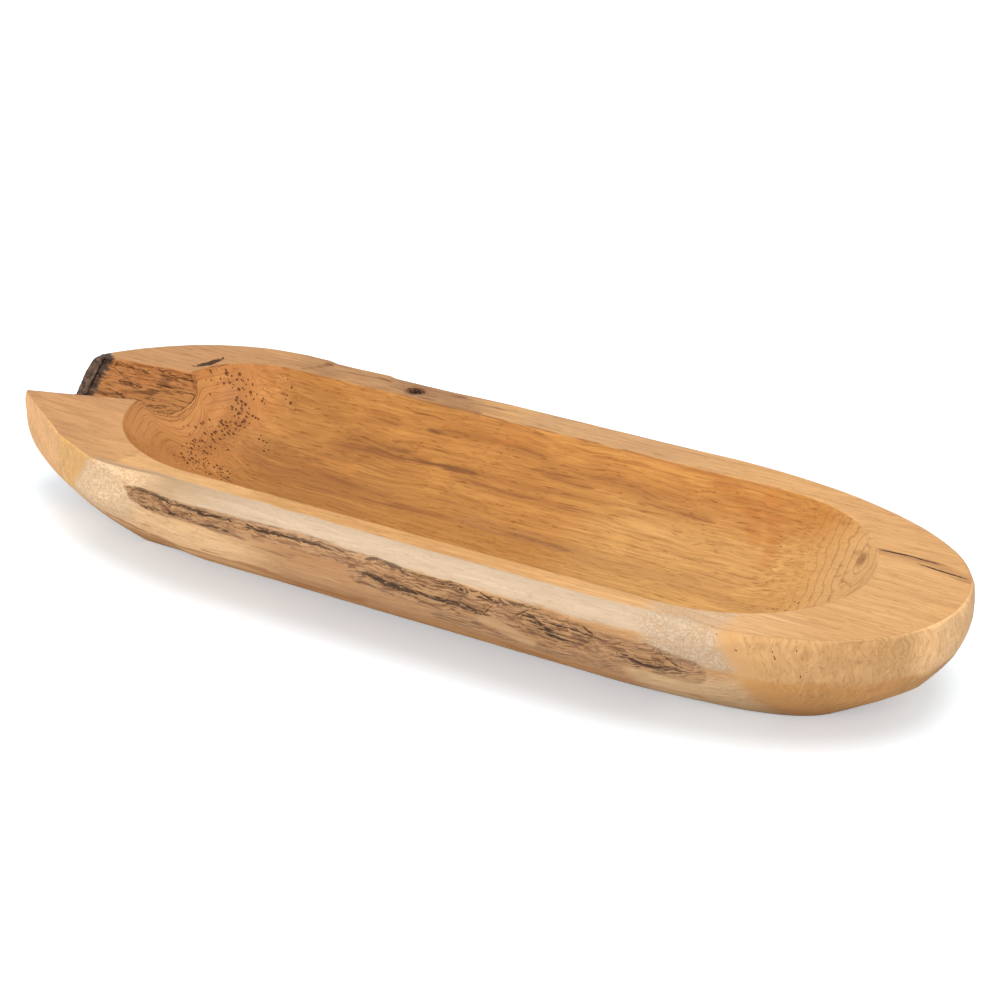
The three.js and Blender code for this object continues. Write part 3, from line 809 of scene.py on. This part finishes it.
edgeRight = x - 0.5 * depths + 4 * wander
paint((212, 162, 106), outside * (place < 4) * ramp(edgeRight, 198, 208))
paint((202, 144, 82), outside * fall(place, 1.5, 2.6) * ramp(x - 0.25 * depths, 208, 216)
      * ramp(depths + 3 * wander, 25, 30) * 0.9)
paint((248, 196, 138), outside * fall(place, 1.9, 2.6) * ramp(x, 290, 300) * fall(depths, 26, 34))
paint((244, 184, 120), outside * (place > 6.9) * (place < 9) * fall(x, -246, -243))
slanted = x + 0.85 * depths + 1.5 * fine
paint((232, 178, 110), outside * (place > 6.9) * (place < 10.5) * ramp(x, -245, -243)
      * fall(slanted, -196, -184))
barkMargin = beside * ramp(offset @ planeOut + 1.2 * fine, -4.6, -4.0) * shell
paint((76, 60, 51), barkMargin)

# The pale sapwood: a band along the front bevel, wide and fuzzy at both ends
rimStart = edgeRing - ringCounts["rim"] - len(edgeGaps)
sapBand = np.where(outside, depths, -lengthOf(grid[..., :2] - grid[:, rimStart:rimStart + 1, :2]))
frontSide = (onFront & outside) | (strip & ((place > 9) | (place < 1.6)))
sap = frontSide * band(sapBand + 1.6 * fine, -3, 6.8, 2.2) * band(x, -200, 190, 12)
sapLeft = (onFront * (place > 8.1) * ramp(slanted, -207, -203) * fall(slanted, -175, -140)
           * fall(depths, 28, 42))
fuzz = frontSide * ramp(edgeRight, 158, 172) * fall(edgeRight, 202, 210) * band(depths, 2, 20, 5)
sap = np.clip(np.maximum(sap, np.maximum(0.95 * sapLeft, 0.9 * fuzz)), 0, 1)
paint((206, 180, 150), sap)
paint((186, 146, 102), sap * fall(x, -170, -80) * 0.8)
paint((250, 212, 168), sapLeft * 0.9)
paint((158, 102, 52), (strip | wall) * (y > 60) * fall(np.abs(across + 0.4), 0.6, 1.6)
      * band(x, -110, 60, 30) * ramp(fine, -0.3, 0.1))
fuzz = np.maximum(fuzz, np.maximum(sapLeft, frontSide * stroke(
    np.stack([x, depths], -1), [(284, 8), (296, 22)], 11)))

# Listed strokes. Plan coordinates in the cavity and on the rim, x and depth on the flank
plan = grid[..., :2] + 1.2 * np.stack([0 * fine, fine], -1)
side = np.stack([x, depths + fine], -1)
dark, brown, dusk, rust, gold = (112, 68, 36), (146, 90, 48), (168, 116, 72), (186, 114, 50), (220, 158, 84)
strokes = [
    (cavity, plan, brown, 3, [
        ((-175, 62), (-150, 56), 9, 0.4), ((-172, 78), (-150, 74), 6, 0.35),
        ((-138, 66), (-109, 70), (-78, 72), 3, 0.5), ((-134, 52), (-121, 60), (-84, 60), 8, 0.55),
        ((11, 68), (40, 65), 4, 0.5), ((-30, 56), (3, 56), (54, 57), 9, 0.6),
        ((46, 71), (72, 69), (95, 66), (117, 65), 6, 0.55), ((60, 24), (92, 25), 4, 0.5),
        ((-160, 34), (-110, 26), (-60, 22), 18, 0.42), ((83, 60), (130, 56), 6, 0.4),
        ((-60, 40), (20, 42), 7, 0.3), ((100, 48), (160, 40), 6, 0.35)]),
    (cavity, plan, dark, 3, [
        ((-121, 61), (-104, 60), (-84, 60), (-70, 59), 4, 0.7),
        ((-77, 58.5), (-47, 58), (-34, 58), 2.2, 0.8), ((-72, 71), (-45, 72), (-26, 73), 2.2, 0.7),
        ((-20, 72), (3, 71), (44, 70), 2.4, 0.5), ((-94, 66), (-60, 67), 2, 0.5),
        ((-178, 66), (-172, 60), 5, 0.5), ((20, 60), (60, 60), 2, 0.5), ((-86, 81), (-44, 79.5), 1.6, 0.9),
        ((10, 28.5), (37, 29), (50, 27), 2.2, 0.8)]),
    (cavity, plan, dusk, 3, [
        ((-11, 30), (39, 30), (74, 24), (127, 27), (170, 18), 10, 0.5),
        ((67, 32), (113, 36), (150, 32), 7, 0.35)]),
    (cavity, plan, rust, 3, [
        ((-19, 78), (-5, 77), 4, 0.8), ((-60, 74), (0, 75), 3, 0.5), ((-129, 45), (-116, 44), 4, 0.9),
        ((-140, 40), (-100, 38), 3, 0.4)]),
    (cavity, plan, gold, 3, [
        ((-182, 64), (-162, 54), 12, 0.45), ((-138, 47), (-100, 44), 8, 0.35),
        ((-110, 78), (-60, 80), 6, 0.5), ((-42, 80), (20, 81), 7, 0.5), ((20, 77), (80, 76), 7, 0.45),
        ((83, 77), (111, 77), 6, 0.6), ((-90, 66), (-30, 64), 4, 0.5), ((20, 46), (90, 44), 8, 0.5),
        ((-60, 48), (-20, 47), 6, 0.5)]),
    (strip * 1.0, plan, dusk, 3, [
        ((-248, -66), (-225, -72), (-204, -74), (-163, -78), 5, 0.3), ((-262, -40), (-230, -50), 5, 0.4),
        ((-270, -20), (-243, -28), 8, 0.4), ((243, 36), (270, 36), (298, 29), 6, 0.75),
        ((-200, 76), (-150, 84), 5, 0.5), ((-140, 92), (-70, 90), 4, 0.45), ((-80, 86), (10, 88), 3, 0.35),
        ((-230, 46), (-205, 66), 5, 0.4)]),
    (strip * 1.0, plan, dark, 3, [
        ((-155, 93), (-120, 96), 1.8, 0.8), ((-100, 98), (-66, 99), 1.8, 0.6),
        ((-112, 88), (-84, 88), 1.6, 0.6), ((-60, 92), (-20, 95), 1.6, 0.5),
        ((-86, 83), (-44, 82), 2.0, 0.5), ((-176, 83), (-169, 89), (-165, 99), 1.6, 0.7),
        ((-125, 92), (-104, 93), 2, 0.5), ((-82, 94), (-60, 96), 3, 0.5)]),
    (limbFace * (y > 14), side, (120, 74, 40), 5, [
        ((-290, 9), (-262, 8), (-243, 7), 0.9, 0.6), ((-290, 14), (-262, 12), (-240, 10.5), 1.1, 0.7),
        ((-282, 5), (-250, 4), 0.8, 0.5), ((-290, 19), (-268, 16), (-246, 13), 1.3, 0.8),
        ((-262, 6), (-236, 5), 0.8, 0.6)]),
    (flank, side, dusk, 3, [
        ((-146, 13), (-60, 15), (10, 17), (100, 21), 9, 0.6), ((-60, 38), (40, 42), (120, 44), 5, 0.5)]),
    (flank, side, (112, 74, 52), 3, [
        ((-168, 12.6), (-161, 17), (-136, 15), (-111, 15.5), (-87, 18), (-55, 21), 2.6, 0.9)]),
    (flank, side, (172, 108, 52), 3, [
        ((-160, 41), (-126, 41), (-70, 43), (-20, 44), 3, 1.0), ((-36, 48), (-12, 40), 3, 0.9),
        ((40, 38), (74, 44), (110, 50), 3, 0.9), ((-200, 38), (-150, 47), 3, 1.0),
        ((-170, 50), (-60, 52), 3, 0.9), ((-120, 36), (-80, 38), 2, 0.8), ((-60, 47), (30, 50), 3, 0.8),
        ((120, 44), (190, 52), 3, 0.8), ((-190, 30), (-150, 33), 2, 0.7)]),
    (flank, side, (204, 166, 122), 2, [
        ((72, 23), (84, 27), (98, 33), 7, 0.8)]),
    (flank, side, (180, 124, 84), 1, [
        ((246, 6), (262, 1), 5, 0.6), ((262, 14), (284, 6), 8, 0.5), ((305, 3), (306.5, 10), 5, 0.8)]),
]
accent = np.broadcast_to(linear(*brown), grid.shape).copy()
accentAt = np.zeros(x.shape)
for mask, q, rgb, stretch, paths in strokes:
    for *path, width, strength in paths:
        here = mask * stroke(q, path, width, stretch) * strength
        share = np.clip(here / np.maximum(here + accentAt, 1e-6) * (here > 0), 0, 1) ** 0.7
        accent = mix(accent, linear(*rgb), share[..., None])
        accentAt = np.maximum(accentAt, here)
for path in ([(118, 77, 68), (134, 76, 66), (147, 71, 58), (155, 61, 45)],
             [(156, 76, 65), (165, 66, 52), (167, 53, 39)]):
    paint(rust, cavity * stroke(solid, path, 7) * (0.45 + 0.4 * fine))
tone = tone * (1 + 0.10 * broad + 0.05 * fine)[..., None]

# Weathered zones on the flank, and the dark threads in them, by x and depth
darkThreads = [
    ([(-176, 9.8), (-162, 6.6), (-132, 8.2), (-106, 8.5), (-77, 9.2), (-55, 8.1), (-12, 8.6), (4, 7),
      (32, 9)], 2.0, 0.9),
    ([(-2, 16.7), (13, 20), (34, 20), (54, 20), (73, 21)], 2.8, 1.0),
    ([(24, 9.5), (50, 9), (78, 11), (106, 9)], 2.4, 0.7), ([(20, 24), (60, 25)], 1.6, 0.6),
    ([(100, 13), (110, 19.5), (124, 24)], 3.0, 0.9), ([(112, 14), (140, 16)], 2.0, 0.7),
    ([(107, 7.5), (139, 7.6), (166, 9.6), (182, 20), (189, 27)], 1.6, 0.6),
    ([(158, 24), (166, 27.5), (176, 28.6), (190, 27.4)], 2.4, 1.1),
    ([(-161, 17.5), (-136, 14.2), (-97, 15.4), (-71, 18.6)], 1.5, 0.7),
]


def darkAt(px, depth):
    return strongest(np.stack([px, depth], -1), darkThreads, 2.5)


weatheredZones = [
    ([(-170, 12), (-140, 12), (-100, 10), (-40, 9.5), (10, 12)], 7, 1.0),
    ([(-6, 17), (20, 19), (50, 20), (80, 18), (110, 20), (140, 20), (170, 23), (192, 27)], 14, 1.0),
    ([(40, 31), (110, 36), (150, 36)], 9, 0.7),
]
paleEye = stroke(side, [(74, 24), (86, 28), (98, 33)], 8)
weather = onFront * strongest(side, weatheredZones) * (1 - 0.8 * paleEye)

# Pits: groups on the left wall, a few near the rim and in the right corner, one here and there
pitGroups = [
    ([(-224, 53, 67), (-214, 62, 65), (-208, 63, 60)], 9, 0.95),
    ([(-200, 60, 52), (-200, 46, 44), (-202, 6, 39)], 13, 0.95),
    ([(-202, -8, 39), (-191, -2, 33), (-182, 3, 30)], 9, 0.95),
    ([(-181, 47, 36), (-175, 41, 33)], 7, 0.4), ([(-186, 79, 70), (-174, 66, 54)], 6, 0.4),
    ([(200, 22, 36), (192, 16, 31)], 6, 0.4), ([(-217, 43, 55), (-212, 31, 47), (-215, 15, 49)], 8, 0.25),
]
pits = np.maximum(0.006, wall * strongest(solid, pitGroups))

# Contour lines round the mouth and round the right wall's knot
swirl = wall * band(around, around[lips[0], 0] - 26, around[lips[1], 0] + 18, 16) * fall(across, 26, 48)
knotRings = lengthOf((solid - np.array(knots["end_wall_dead_knot"]["centre"])) * np.array([1.0, 0.5, 0.8]))
ringsEnd = wall * ramp(x, 176, 212)
contour = np.where(x > 0, knotRings, across)
pastLips = np.maximum(np.maximum(-fromLips[0], fromLips[1]), 0)
mouth = swirl * fall(pastLips, 0, 7)[:, None]

# Where the grain runs: along X, round the mouth by across, and down the cut ends
endGrain = outside * ((place < 4) * ramp(edgeRight, 206, 212)
                      + (place > 6.9) * (place < 10.4) * fall(slanted, -209, -205))
flow = mix(grid, np.stack([around, across, 0 * across + 40], -1), swirl[..., None])
wave = 7 * noise(solid, (16, 16, 16), 91, 2)
flow = mix(flow, np.stack([depths * 5 + 6 * wave, girth + wave, 0 * girth], -1), endGrain[..., None])
rate = lengthOf(np.roll(flow, -1, 0) - flow) / np.maximum(lengthOf(np.roll(grid, -1, 0) - grid), 0.3)
rate = np.maximum(rate, np.roll(rate, 1, 0))
calm = fall(np.maximum(rate, np.maximum(np.roll(rate, 1, 0), np.roll(rate, -1, 0))), 5, 10)
crease = outside * np.any([np.abs(place - corner) < 1e-6 for corner in (7, 8, 9)], axis=0) * 1.0
values = {
    "cavity": cavity, "sap": sap, "weather": weather, "dark": onFront * darkAt(x, depths), "pits": pits,
    "fuzz": fuzz, "old": limbFace * 1.0, "mouth": mouth, "arcs": np.clip(swirl * 0.9 + ringsEnd, 0, 1),
    "contour": np.clip(contour, -40, 90), "knotNear": knotNear, "flow": flow, "calm": calm,
    "crease": crease, "accentAt": accentAt}

wood = newMesh("bowlWood", grid, gridFaces(rounds, rings), values, {"tone": tone, "accent": accent})
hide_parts("bowl_body")
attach(wood, "root")

material, shader, v = newMaterial("teakOiled", 0.55, 0.25)


# Weathered wood: tan hairs and dark furrows along the grain, darkest where the dark threads run
def weathered(v, at):
    hairs = v.noise(at.warped(0.05, (16.0, 9.0, 9.0)).stretched(0.07), 0.7, 4.0, 0.72)
    deep = (v.attribute("dark") * 0.32 + hairs * 1.25 - 0.78).ramp(0.0, 0.2)
    base = hairs.ramp(0.60, 0.41).between(colour(132, 92, 62), colour(194, 148, 104))
    return base.mixed(colour(72, 52, 42), deep * 0.9), hairs * -0.8 - deep * 0.6


# 1 on the straight line from a to b, thinner to its ends, with a ragged edge
def checkLine(at, a, b, width, wiggle):
    a, b = np.array(a, float), np.array(b, float)
    rel = at.move("SUBTRACT", tuple(a))
    t = rel.node("ShaderNodeVectorMath", {0: rel, 1: tuple((b - a) / ((b - a) @ (b - a)))}, out=1,
                 operation="DOT_PRODUCT").clamp()
    along = rel.node("ShaderNodeVectorMath", {0: tuple(b - a), 3: t}, operation="SCALE")
    away = rel.move("SUBTRACT", along).length() + wiggle
    half = (t * (1.0 - t) * 4.0) ** 0.5 * width
    return (half - away).ramp(-0.15 * width, 0.35 * width)


at = v.place()
# Grain along the flow: broad streaks, fine fibres and short dashes
grain = v.attribute("flow", 1).warped(0.014, (60.0, 9.0, 9.0)).stretched(0.045)
streaks = v.noise(grain, 0.17, 4.0, 0.68)
fibre = v.noise(grain.stretched(1.3), 0.55, 4.0, 0.65)
dash = v.noise(grain.stretched(3.6), 0.8, 1.0).ramp(0.60, 0.72)
cavityAt, sapAt, arcsAt, contourAt = (v.attribute(name) for name in ("cavity", "sap", "arcs", "contour"))
ringAt = contourAt + v.noise(at, 0.045, 2.0) * 14.0 + (fibre - 0.5) * 2.0
arcs = ringAt.math("SINE", ringAt * 1.05).ramp(0.75, 1.0) * arcsAt
calmAt = v.attribute("calm") * (1.0 - arcsAt * 0.7)
contrast = (streaks - 0.5) * (0.65 + cavityAt * 0.35) + (fibre - 0.5) * (0.85 + cavityAt * 0.55)
shade = (1.0 + contrast * (1.0 - sapAt * 0.5) * calmAt
         - dash * (0.2 + cavityAt * 0.12) * (1.0 - sapAt * 0.4) * calmAt)
base = v.attribute("tone", 0).move("MULTIPLY", v.vector(shade ** 0.8, shade ** 1.05, shade ** 1.25))

accentHere = v.attribute("accentAt")
frayed = (accentHere * 1.2 + (streaks - 0.5) * 2.6 + (fibre - 0.5) * 2.0 - 0.34).ramp(0.0, 0.8)
frayed = frayed * accentHere.ramp(0.03, 0.3) * (0.6 + fibre * 0.7)
weatherBase, weatherHeight = weathered(v, at)
weatherAt = (v.attribute("weather") * 1.5 + v.attribute("dark") * 0.8 + fibre - 0.95).ramp(0.0, 0.5)
oldGrain = v.noise(at.stretched(0.04), 0.3, 3.0, 0.6)
oldCracks = oldGrain.near(0.5, 0.028) * v.noise(at.stretched(0.3), 0.2, 2.0).ramp(0.42, 0.52)
oldCracks = (oldCracks + oldGrain.ramp(0.56, 0.7) * 0.4) * v.attribute("old")
mouthAt = contourAt + (v.noise(at, 0.2, 2.0) - 0.5) * 5.0
mouth = mouthAt.near(0.4, 1.1, 0.4) + mouthAt.near(3.6, 0.7, 0.2) * 0.7 + mouthAt.near(6.6, 0.6, 0.2) * 0.5
mouth = mouth * v.attribute("mouth")
cell, chance = v.cells(at.stretched(0.8, 1.0, 0.6), 0.5)
holes = (chance.part(0) * 0.3 + 0.16 - cell).ramp(-0.04, 0.06)
holes = holes * (v.attribute("pits") - chance.part(1)).ramp(0.0, 0.02)
worms = v.noise(at, 0.42, 1.0, 0.5, 0.8).near(0.5, 0.06) * (v.attribute("fuzz") + sapAt * 0.25).clamp()

# Cracks in the rim and the hollow: both ends and the half width
wiggle = (v.noise(at, 0.5, 2.0) - 0.5) * 0.9
checks = [
    ((239, 38, 72), (262, 39.8, 72), 0.9), ((258, 39.2, 72), (276, 38.5, 72), 0.7),
    ((262, 33.5, 72), (298, 29.5, 72), 0.8), ((-239, 50, 71), (-229.5, 64, 71), 2.0),
    ((-234, 57, 71), (-229.6, 73, 71), 1.5), ((2, 29.5, 26.5), (52, 27.5, 26.5), 0.6),
    ((-92, 86, 72), (-70, 92, 72), 0.6), ((-185, 0, 31), (-172, 0, 26), 0.9),
    ((205, -91, 70.5), (219, -90.5, 62.5), 0.35), ((233, -85, 69), (237, -84, 59), 0.35),
    ((246, -80, 68), (248, -76, 48), 0.35),
]
crack = checkLine(at, *checks[0], wiggle)
for check in checks[1:]:
    crack = crack.math("MAXIMUM", crack, checkLine(at, *check, wiggle))

for shadeColour, share in (
        (colour(150, 92, 44), arcs * (0.25 + streaks * 0.3)),
        (colour(150, 90, 44), streaks.ramp(0.53, 0.68) * cavityAt * 0.45),
        (colour(170, 116, 70), streaks.ramp(0.55, 0.70) * (1.0 - cavityAt) * (1.0 - sapAt * 0.7) * 0.4),
        (colour(222, 164, 88), streaks.ramp(0.46, 0.32) * cavityAt * 0.35),
        (v.attribute("accent", 0), frayed * 0.8), (weatherBase, weatherAt * 0.85),
        (colour(78, 44, 22), oldCracks * 0.8), (colour(104, 60, 28), mouth * 0.65),
        (colour(92, 46, 14), holes * 0.85),
        (colour(116, 72, 40), v.attribute("knotNear").ramp(3.0, -0.4) * 0.7 * (0.2 + fibre * 1.4)),
        (colour(204, 148, 92), worms * 0.6), (colour(44, 25, 16), crack * 0.9)):
    base = base.mixed(shadeColour, share)
wire(shader, "Base Color", base)
relief = ((fibre * -0.5 - dash * 0.1) * calmAt - crack * 0.8 - holes * 1.0 - oldCracks * 0.8 - mouth * 0.4
          + weatherHeight * weatherAt * 0.6 - worms * 0.2 - arcs * 0.1)
bump(shader, relief, 0.9)
wood.data.materials.append(material)
print("scene: wood", len(wood.data.vertices), "vertices")


# Millimetres from point to point along and down a bark patch, of its tapered ends and its underside
barkSkin = {"along": 0.6, "down": 0.42, "taper": 13, "under": -2.2}


# Closed skin of one bark patch: between its top and bottom edges, which close to a point at both
# ends, the outside's point moved along its normal by the relief, and back under it
def flankSkin(stations, seed, rough=0.8):
    at = np.array(stations, float)
    start, end = at[0, 0] - 1.0, at[-1, 0] + 1.0
    n = int((end - start) / barkSkin["along"])
    fromEnd = np.linspace(start, end, n)
    middle = (np.interp(fromEnd, at[:, 0], at[:, 1]) + np.interp(fromEnd, at[:, 0], at[:, 2])) / 2
    half = (np.interp(fromEnd, at[:, 0], at[:, 2]) - np.interp(fromEnd, at[:, 0], at[:, 1])) / 2
    tip = np.clip(np.minimum(fromEnd - start, end - fromEnd) / barkSkin["taper"], 0, 1) ** 0.7
    px = fromEnd - halfLength
    probe = np.stack([px, 0 * px, 0 * px], -1)
    upper = middle - (half + 0.7 * noise(probe, (5, 1, 1), seed, 3)) * tip
    lower = middle + (half + 0.9 * noise(probe, (6, 1, 1), seed + 5, 3)) * tip
    m = int(max(24, (at[:, 2] - at[:, 1]).max() / barkSkin["down"]))
    across = np.concatenate([np.linspace(1, 0, m), np.linspace(0, 1, m // 3)[1:-1]])
    inner = np.concatenate([np.zeros(m), np.ones(m // 3 - 2)])
    depth = mix(upper[:, None], lower[:, None], across[None])
    wide = np.repeat(frontPlace(px)[:, None], len(across), 1)
    surface = hullPoint(wide, depth)
    along = hullPoint(wide + 1e-3, depth) - surface
    down = hullPoint(wide, depth + 0.05) - surface
    normal = unit(np.cross(down, along))
    p = np.stack([surface[..., 0], depth, 0 * depth], -1)
    ridges = 1 - 2 * np.abs(noise(p + np.array([0, 0, seed]), (15, 1.3, 1), seed, 3))
    lumps = noise(p, (9, 4, 1), seed + 9, 3)
    edge = 4 * across * (1 - across)
    lift = -0.35 - rough * (0.55 - 0.5 * ridges - 0.5 * lumps) * np.clip(edge * 2.2, 0.12, 1)
    lift = np.where(inner[None] > 0, barkSkin["under"], np.minimum(lift, -0.04))
    lift = mix(-0.9, lift, tip[:, None])
    grid = surface + normal * lift[..., None]
    for k in (0, -1):
        grid[k] = grid[k].mean(axis=0)
    values = {"relief": (lift.T + 0.35) / rough, "rim": (edge * 2.0 * tip[:, None]).T,
              "dark": darkAt(np.repeat(px[:, None], len(across), 1), depth).T}
    return grid.transpose(1, 0, 2), values


fibreMaterial, shader, v = newMaterial("weatheredFibre", 0.85, 0.2)
at = v.place()
base, heights = weathered(v, at)
base = base.mixed(colour(72, 52, 42), v.attribute("relief").ramp(-0.35, -1.0) * 0.6)
base = base.mixed(colour(186, 138, 94), v.attribute("rim").ramp(1.0, 0.0) * 0.7)
wire(shader, "Base Color", base)
bump(shader, heights * 0.8, 0.9)

for index, (node, stations) in enumerate(barkOutlines.items()):
    addSkin(node, *flankSkin(stations, 40 + 7 * index), "weathered_fibre", fibreMaterial)


knotRounds, knotRings = 72, {"top": 26, "side": 8, "foot": 4}
knotSunk, knotFoot = -0.5, 0.75  # mm from the rim to the top, and the foot's share of the radius


# Dead knots: closed drops round an axis, radius r(t), height h(t), with radial cracks
def knotSkin(knot):
    length, width, depth = knot["size"]
    up = unit(np.array(knot["out"], float))
    across = unit(np.cross(np.array(knot["along"], float), up))
    lengthways = np.cross(up, across)
    angles = np.linspace(0, 2 * math.pi, knotRounds, endpoint=False)
    n, sideRings, footRings = knotRings.values()
    radii = np.concatenate([np.linspace(0, 1, n), np.linspace(1, knotFoot, sideRings)[1:],
                            np.linspace(knotFoot, 0, footRings)[1:]])
    levels = np.concatenate([np.full(n, knotSunk), np.linspace(knotSunk, -depth, sideRings)[1:],
                             np.full(footRings - 1, -depth)])
    r, a = np.meshgrid(radii, angles)
    top = (np.arange(len(radii)) < n)[None]
    p = np.stack([np.cos(a) * r * length / 2, np.sin(a) * r * width / 2, 0 * r], -1)
    edge = 1 + 0.07 * noise(np.stack([np.cos(a), np.sin(a), 0 * a], -1), (0.5, 0.5, 1), knot["seed"], 2)
    crack = np.abs(noise(p + 0.3 * r[..., None], (1.6, 1.0, 1), knot["seed"] + 3, 3))
    cup = 0.55 * np.cos(r * 9.0) * r
    dip = np.where(top, -1.3 * np.exp(-(crack / 0.12) ** 2) * (1 - r ** 6) - 0.6 * (1 - r) + 0.3 * cup, 0)
    h = levels[None] + dip * (r < 0.98)
    grid = (np.array(knot["centre"], float) + lengthways * (p[..., 0] * edge)[..., None]
            + across * (p[..., 1] * edge)[..., None] + up * h[..., None])
    for k in (0, -1):
        grid[:, k] = grid[:, k].mean(axis=0)
    return grid, {"deep": np.clip(-dip, 0, 2)}


# Two tones mottled by noise, and a darker one where the surface lies deep
def mottledMaterial(name, look):
    material, shader, v = newMaterial(name, look["roughness"], look["specular"])
    mottle = v.noise(v.place(), look["scale"], 4.0, 0.65)
    base = mottle.ramp(0.35, 0.65).between(colour(*look["dark"]), colour(*look["pale"]))
    deep = v.attribute("deep").ramp(*look["deep"]) * look["deepShare"]
    wire(shader, "Base Color", base.mixed(colour(*look["deepest"]), deep))
    bump(shader, mottle * look["bumpHeight"], look["bumpStrength"])
    return material


knotLook = {"roughness": 0.8, "specular": 0.25, "scale": 0.7, "dark": (72, 46, 30), "pale": (136, 90, 54),
            "deepest": (38, 26, 20), "deep": (0.32, 0.62), "deepShare": 0.92, "bumpHeight": 0.4,
            "bumpStrength": 0.8}
knotMaterial = mottledMaterial("knotWood", knotLook)
for node, knot in knots.items():
    addSkin(node, *knotSkin(knot), "knot_wood", knotMaterial)

# Bark on the limb's end: a polar grid on the cut plane, raised to where the outside was
limbPlaces = np.linspace(5.0, 7.0, 90)


# Whether points lie inside the limb's uncut end: left of every step of its outline, not in the
# notch and beside the cut face
def insideLimbEnd(p):
    shape = p.shape[:-1]
    q = p.reshape(-1, 3)
    depth = np.clip(height - q[:, 2], 0, height)
    outline = hullPoint(limbPlaces[None], depth[:, None])[..., :2]
    step = np.diff(outline, axis=1)
    to = q[:, None, :2] - outline[:, :-1]
    inward = (step[..., 0] * to[..., 1] - step[..., 1] * to[..., 0]).min(axis=1) > 0
    middle, half, trough, power = notchAt(q[:, 0])
    inTrough = (depth / trough) ** power + (np.abs(q[:, 1] - middle) / half) ** power < 1
    inHeight = (q[:, 2] < height) & (q[:, 2] > 0)
    return (inward & ~inTrough & inHeight & besideCut(q - planePoint)).reshape(shape)


# Furthest point along a direction that is still inside, by halving
def reachInside(start, direction, far):
    low, high = np.zeros(start.shape[:-1]), np.full(start.shape[:-1], float(far))
    for _ in range(18):
        middle = (low + high) / 2
        inside = insideLimbEnd(start + direction * middle[..., None])
        low, high = np.where(inside, middle, low), np.where(inside, high, middle)
    return low


barkCentre = planePoint + planeAlong * 1.5 - planeUp * 12 + planeOut * 0.01
angles = np.linspace(0, 2 * math.pi, 150, endpoint=False)
spokes = planeAlong * np.cos(angles)[:, None] + planeUp * np.sin(angles)[:, None]
radius = reachInside(np.broadcast_to(barkCentre, spokes.shape), spokes, 40)
radii = np.linspace(0, 1, 46) ** 0.8
flat = barkCentre + spokes[:, None] * (radii[None] * radius[:, None])[..., None]
thick = reachInside(flat, np.broadcast_to(planeOut, flat.shape), 20)
p = np.stack([(flat - barkCentre) @ planeAlong, (flat - barkCentre) @ planeUp, 0 * thick], -1)
furrows = 1 - 2 * np.abs(noise(p, (2.2, 9, 1), 81, 3))
lumps = noise(p, (3, 3, 1), 88, 3)
carve = (0.25 + 0.9 * (1 - furrows) * 0.5 + 0.4 * (1 + lumps) * 0.5) * ramp(thick, 0.3, 2.0)
top = flat + planeOut * np.clip(thick - carve, 0, np.maximum(thick - 0.12, 0))[..., None]
under = flat[:, ::-1][:, ::6]
bark = np.concatenate([top, under], 1)
bark[..., 0] = np.maximum(bark[..., 0], 0.05 - halfLength)
barkDepth = np.concatenate([carve, np.zeros(under.shape[:2])], 1)
barkLook = {"roughness": 0.88, "specular": 0.2, "scale": 0.35, "dark": (70, 56, 50), "pale": (130, 104, 86),
            "deepest": (30, 25, 24), "deep": (0.5, 1.3), "deepShare": 0.9, "bumpHeight": 0.5,
            "bumpStrength": 0.9}
addSkin("bark_end_cap", bark, {"deep": barkDepth}, "bark", mottledMaterial("darkBark", barkLook))
print("scene: bark and knots")

# Floor, light and camera
floorMesh = bpy.data.meshes.new("floor")
floorCorners = [(x, y, -0.0005) for x, y in ((-6, -6), (6, -6), (6, 6), (-6, 6))]
floorMesh.from_pydata(floorCorners, [], [(0, 1, 2, 3)])
floor = bpy.data.objects.new("floor", floorMesh)
bpy.context.scene.collection.objects.link(floor)
material, shader, v = newMaterial("floorWhite", 0.9, 0.0)
seen = v.node("ShaderNodeLightPath")  # Is Camera Ray
wire(shader, "Base Color", seen.between((0.70, 0.74, 0.78, 1), (0.90, 0.96, 1.0, 1)))
wire(shader, "Emission Color", v.vector(seen * 0.28, seen * 0.31, seen * 0.335))
shader.inputs["Emission Strength"].default_value = 1.0
floorMesh.materials.append(material)

scene = bpy.context.scene
scene.view_settings.view_transform = "Standard"
world = bpy.data.worlds.new("studio")
scene.world = world
world.use_nodes = True
world.node_tree.nodes["Background"].inputs["Color"].default_value = (1, 1, 1, 1)
world.node_tree.nodes["Background"].inputs["Strength"].default_value = 0.62


def areaLight(name, place, aim, size, watts):
    light = bpy.data.lights.new(name, "AREA")
    light.shape, light.size, light.energy = "DISK", size, watts
    lamp = bpy.data.objects.new(name, light)
    lamp.location = place
    toward = np.array(aim, float) - np.array(place, float)
    lamp.rotation_euler = (math.acos(-toward[2] / np.linalg.norm(toward)), 0,
                           math.atan2(toward[1], toward[0]) - math.pi / 2)
    scene.collection.objects.link(lamp)


areaLight("overhead", (0.35, -0.25, 2.0), (0, 0, 0), 1.6, 22)
areaLight("frontFill", (0.1, -2.2, 0.7), (0, 0, 0), 1.4, 18)

camera = bpy.data.objects.new("photoView", bpy.data.cameras.new("photoView"))
camera.location = (0.7088, -1.1451, 0.7142)
camera.rotation_euler = (math.radians(64), 0, math.radians(31))
camera.data.lens, camera.data.sensor_width = 92.6, 36
scene.collection.objects.link(camera)
scene.camera = camera

print("scene: done")
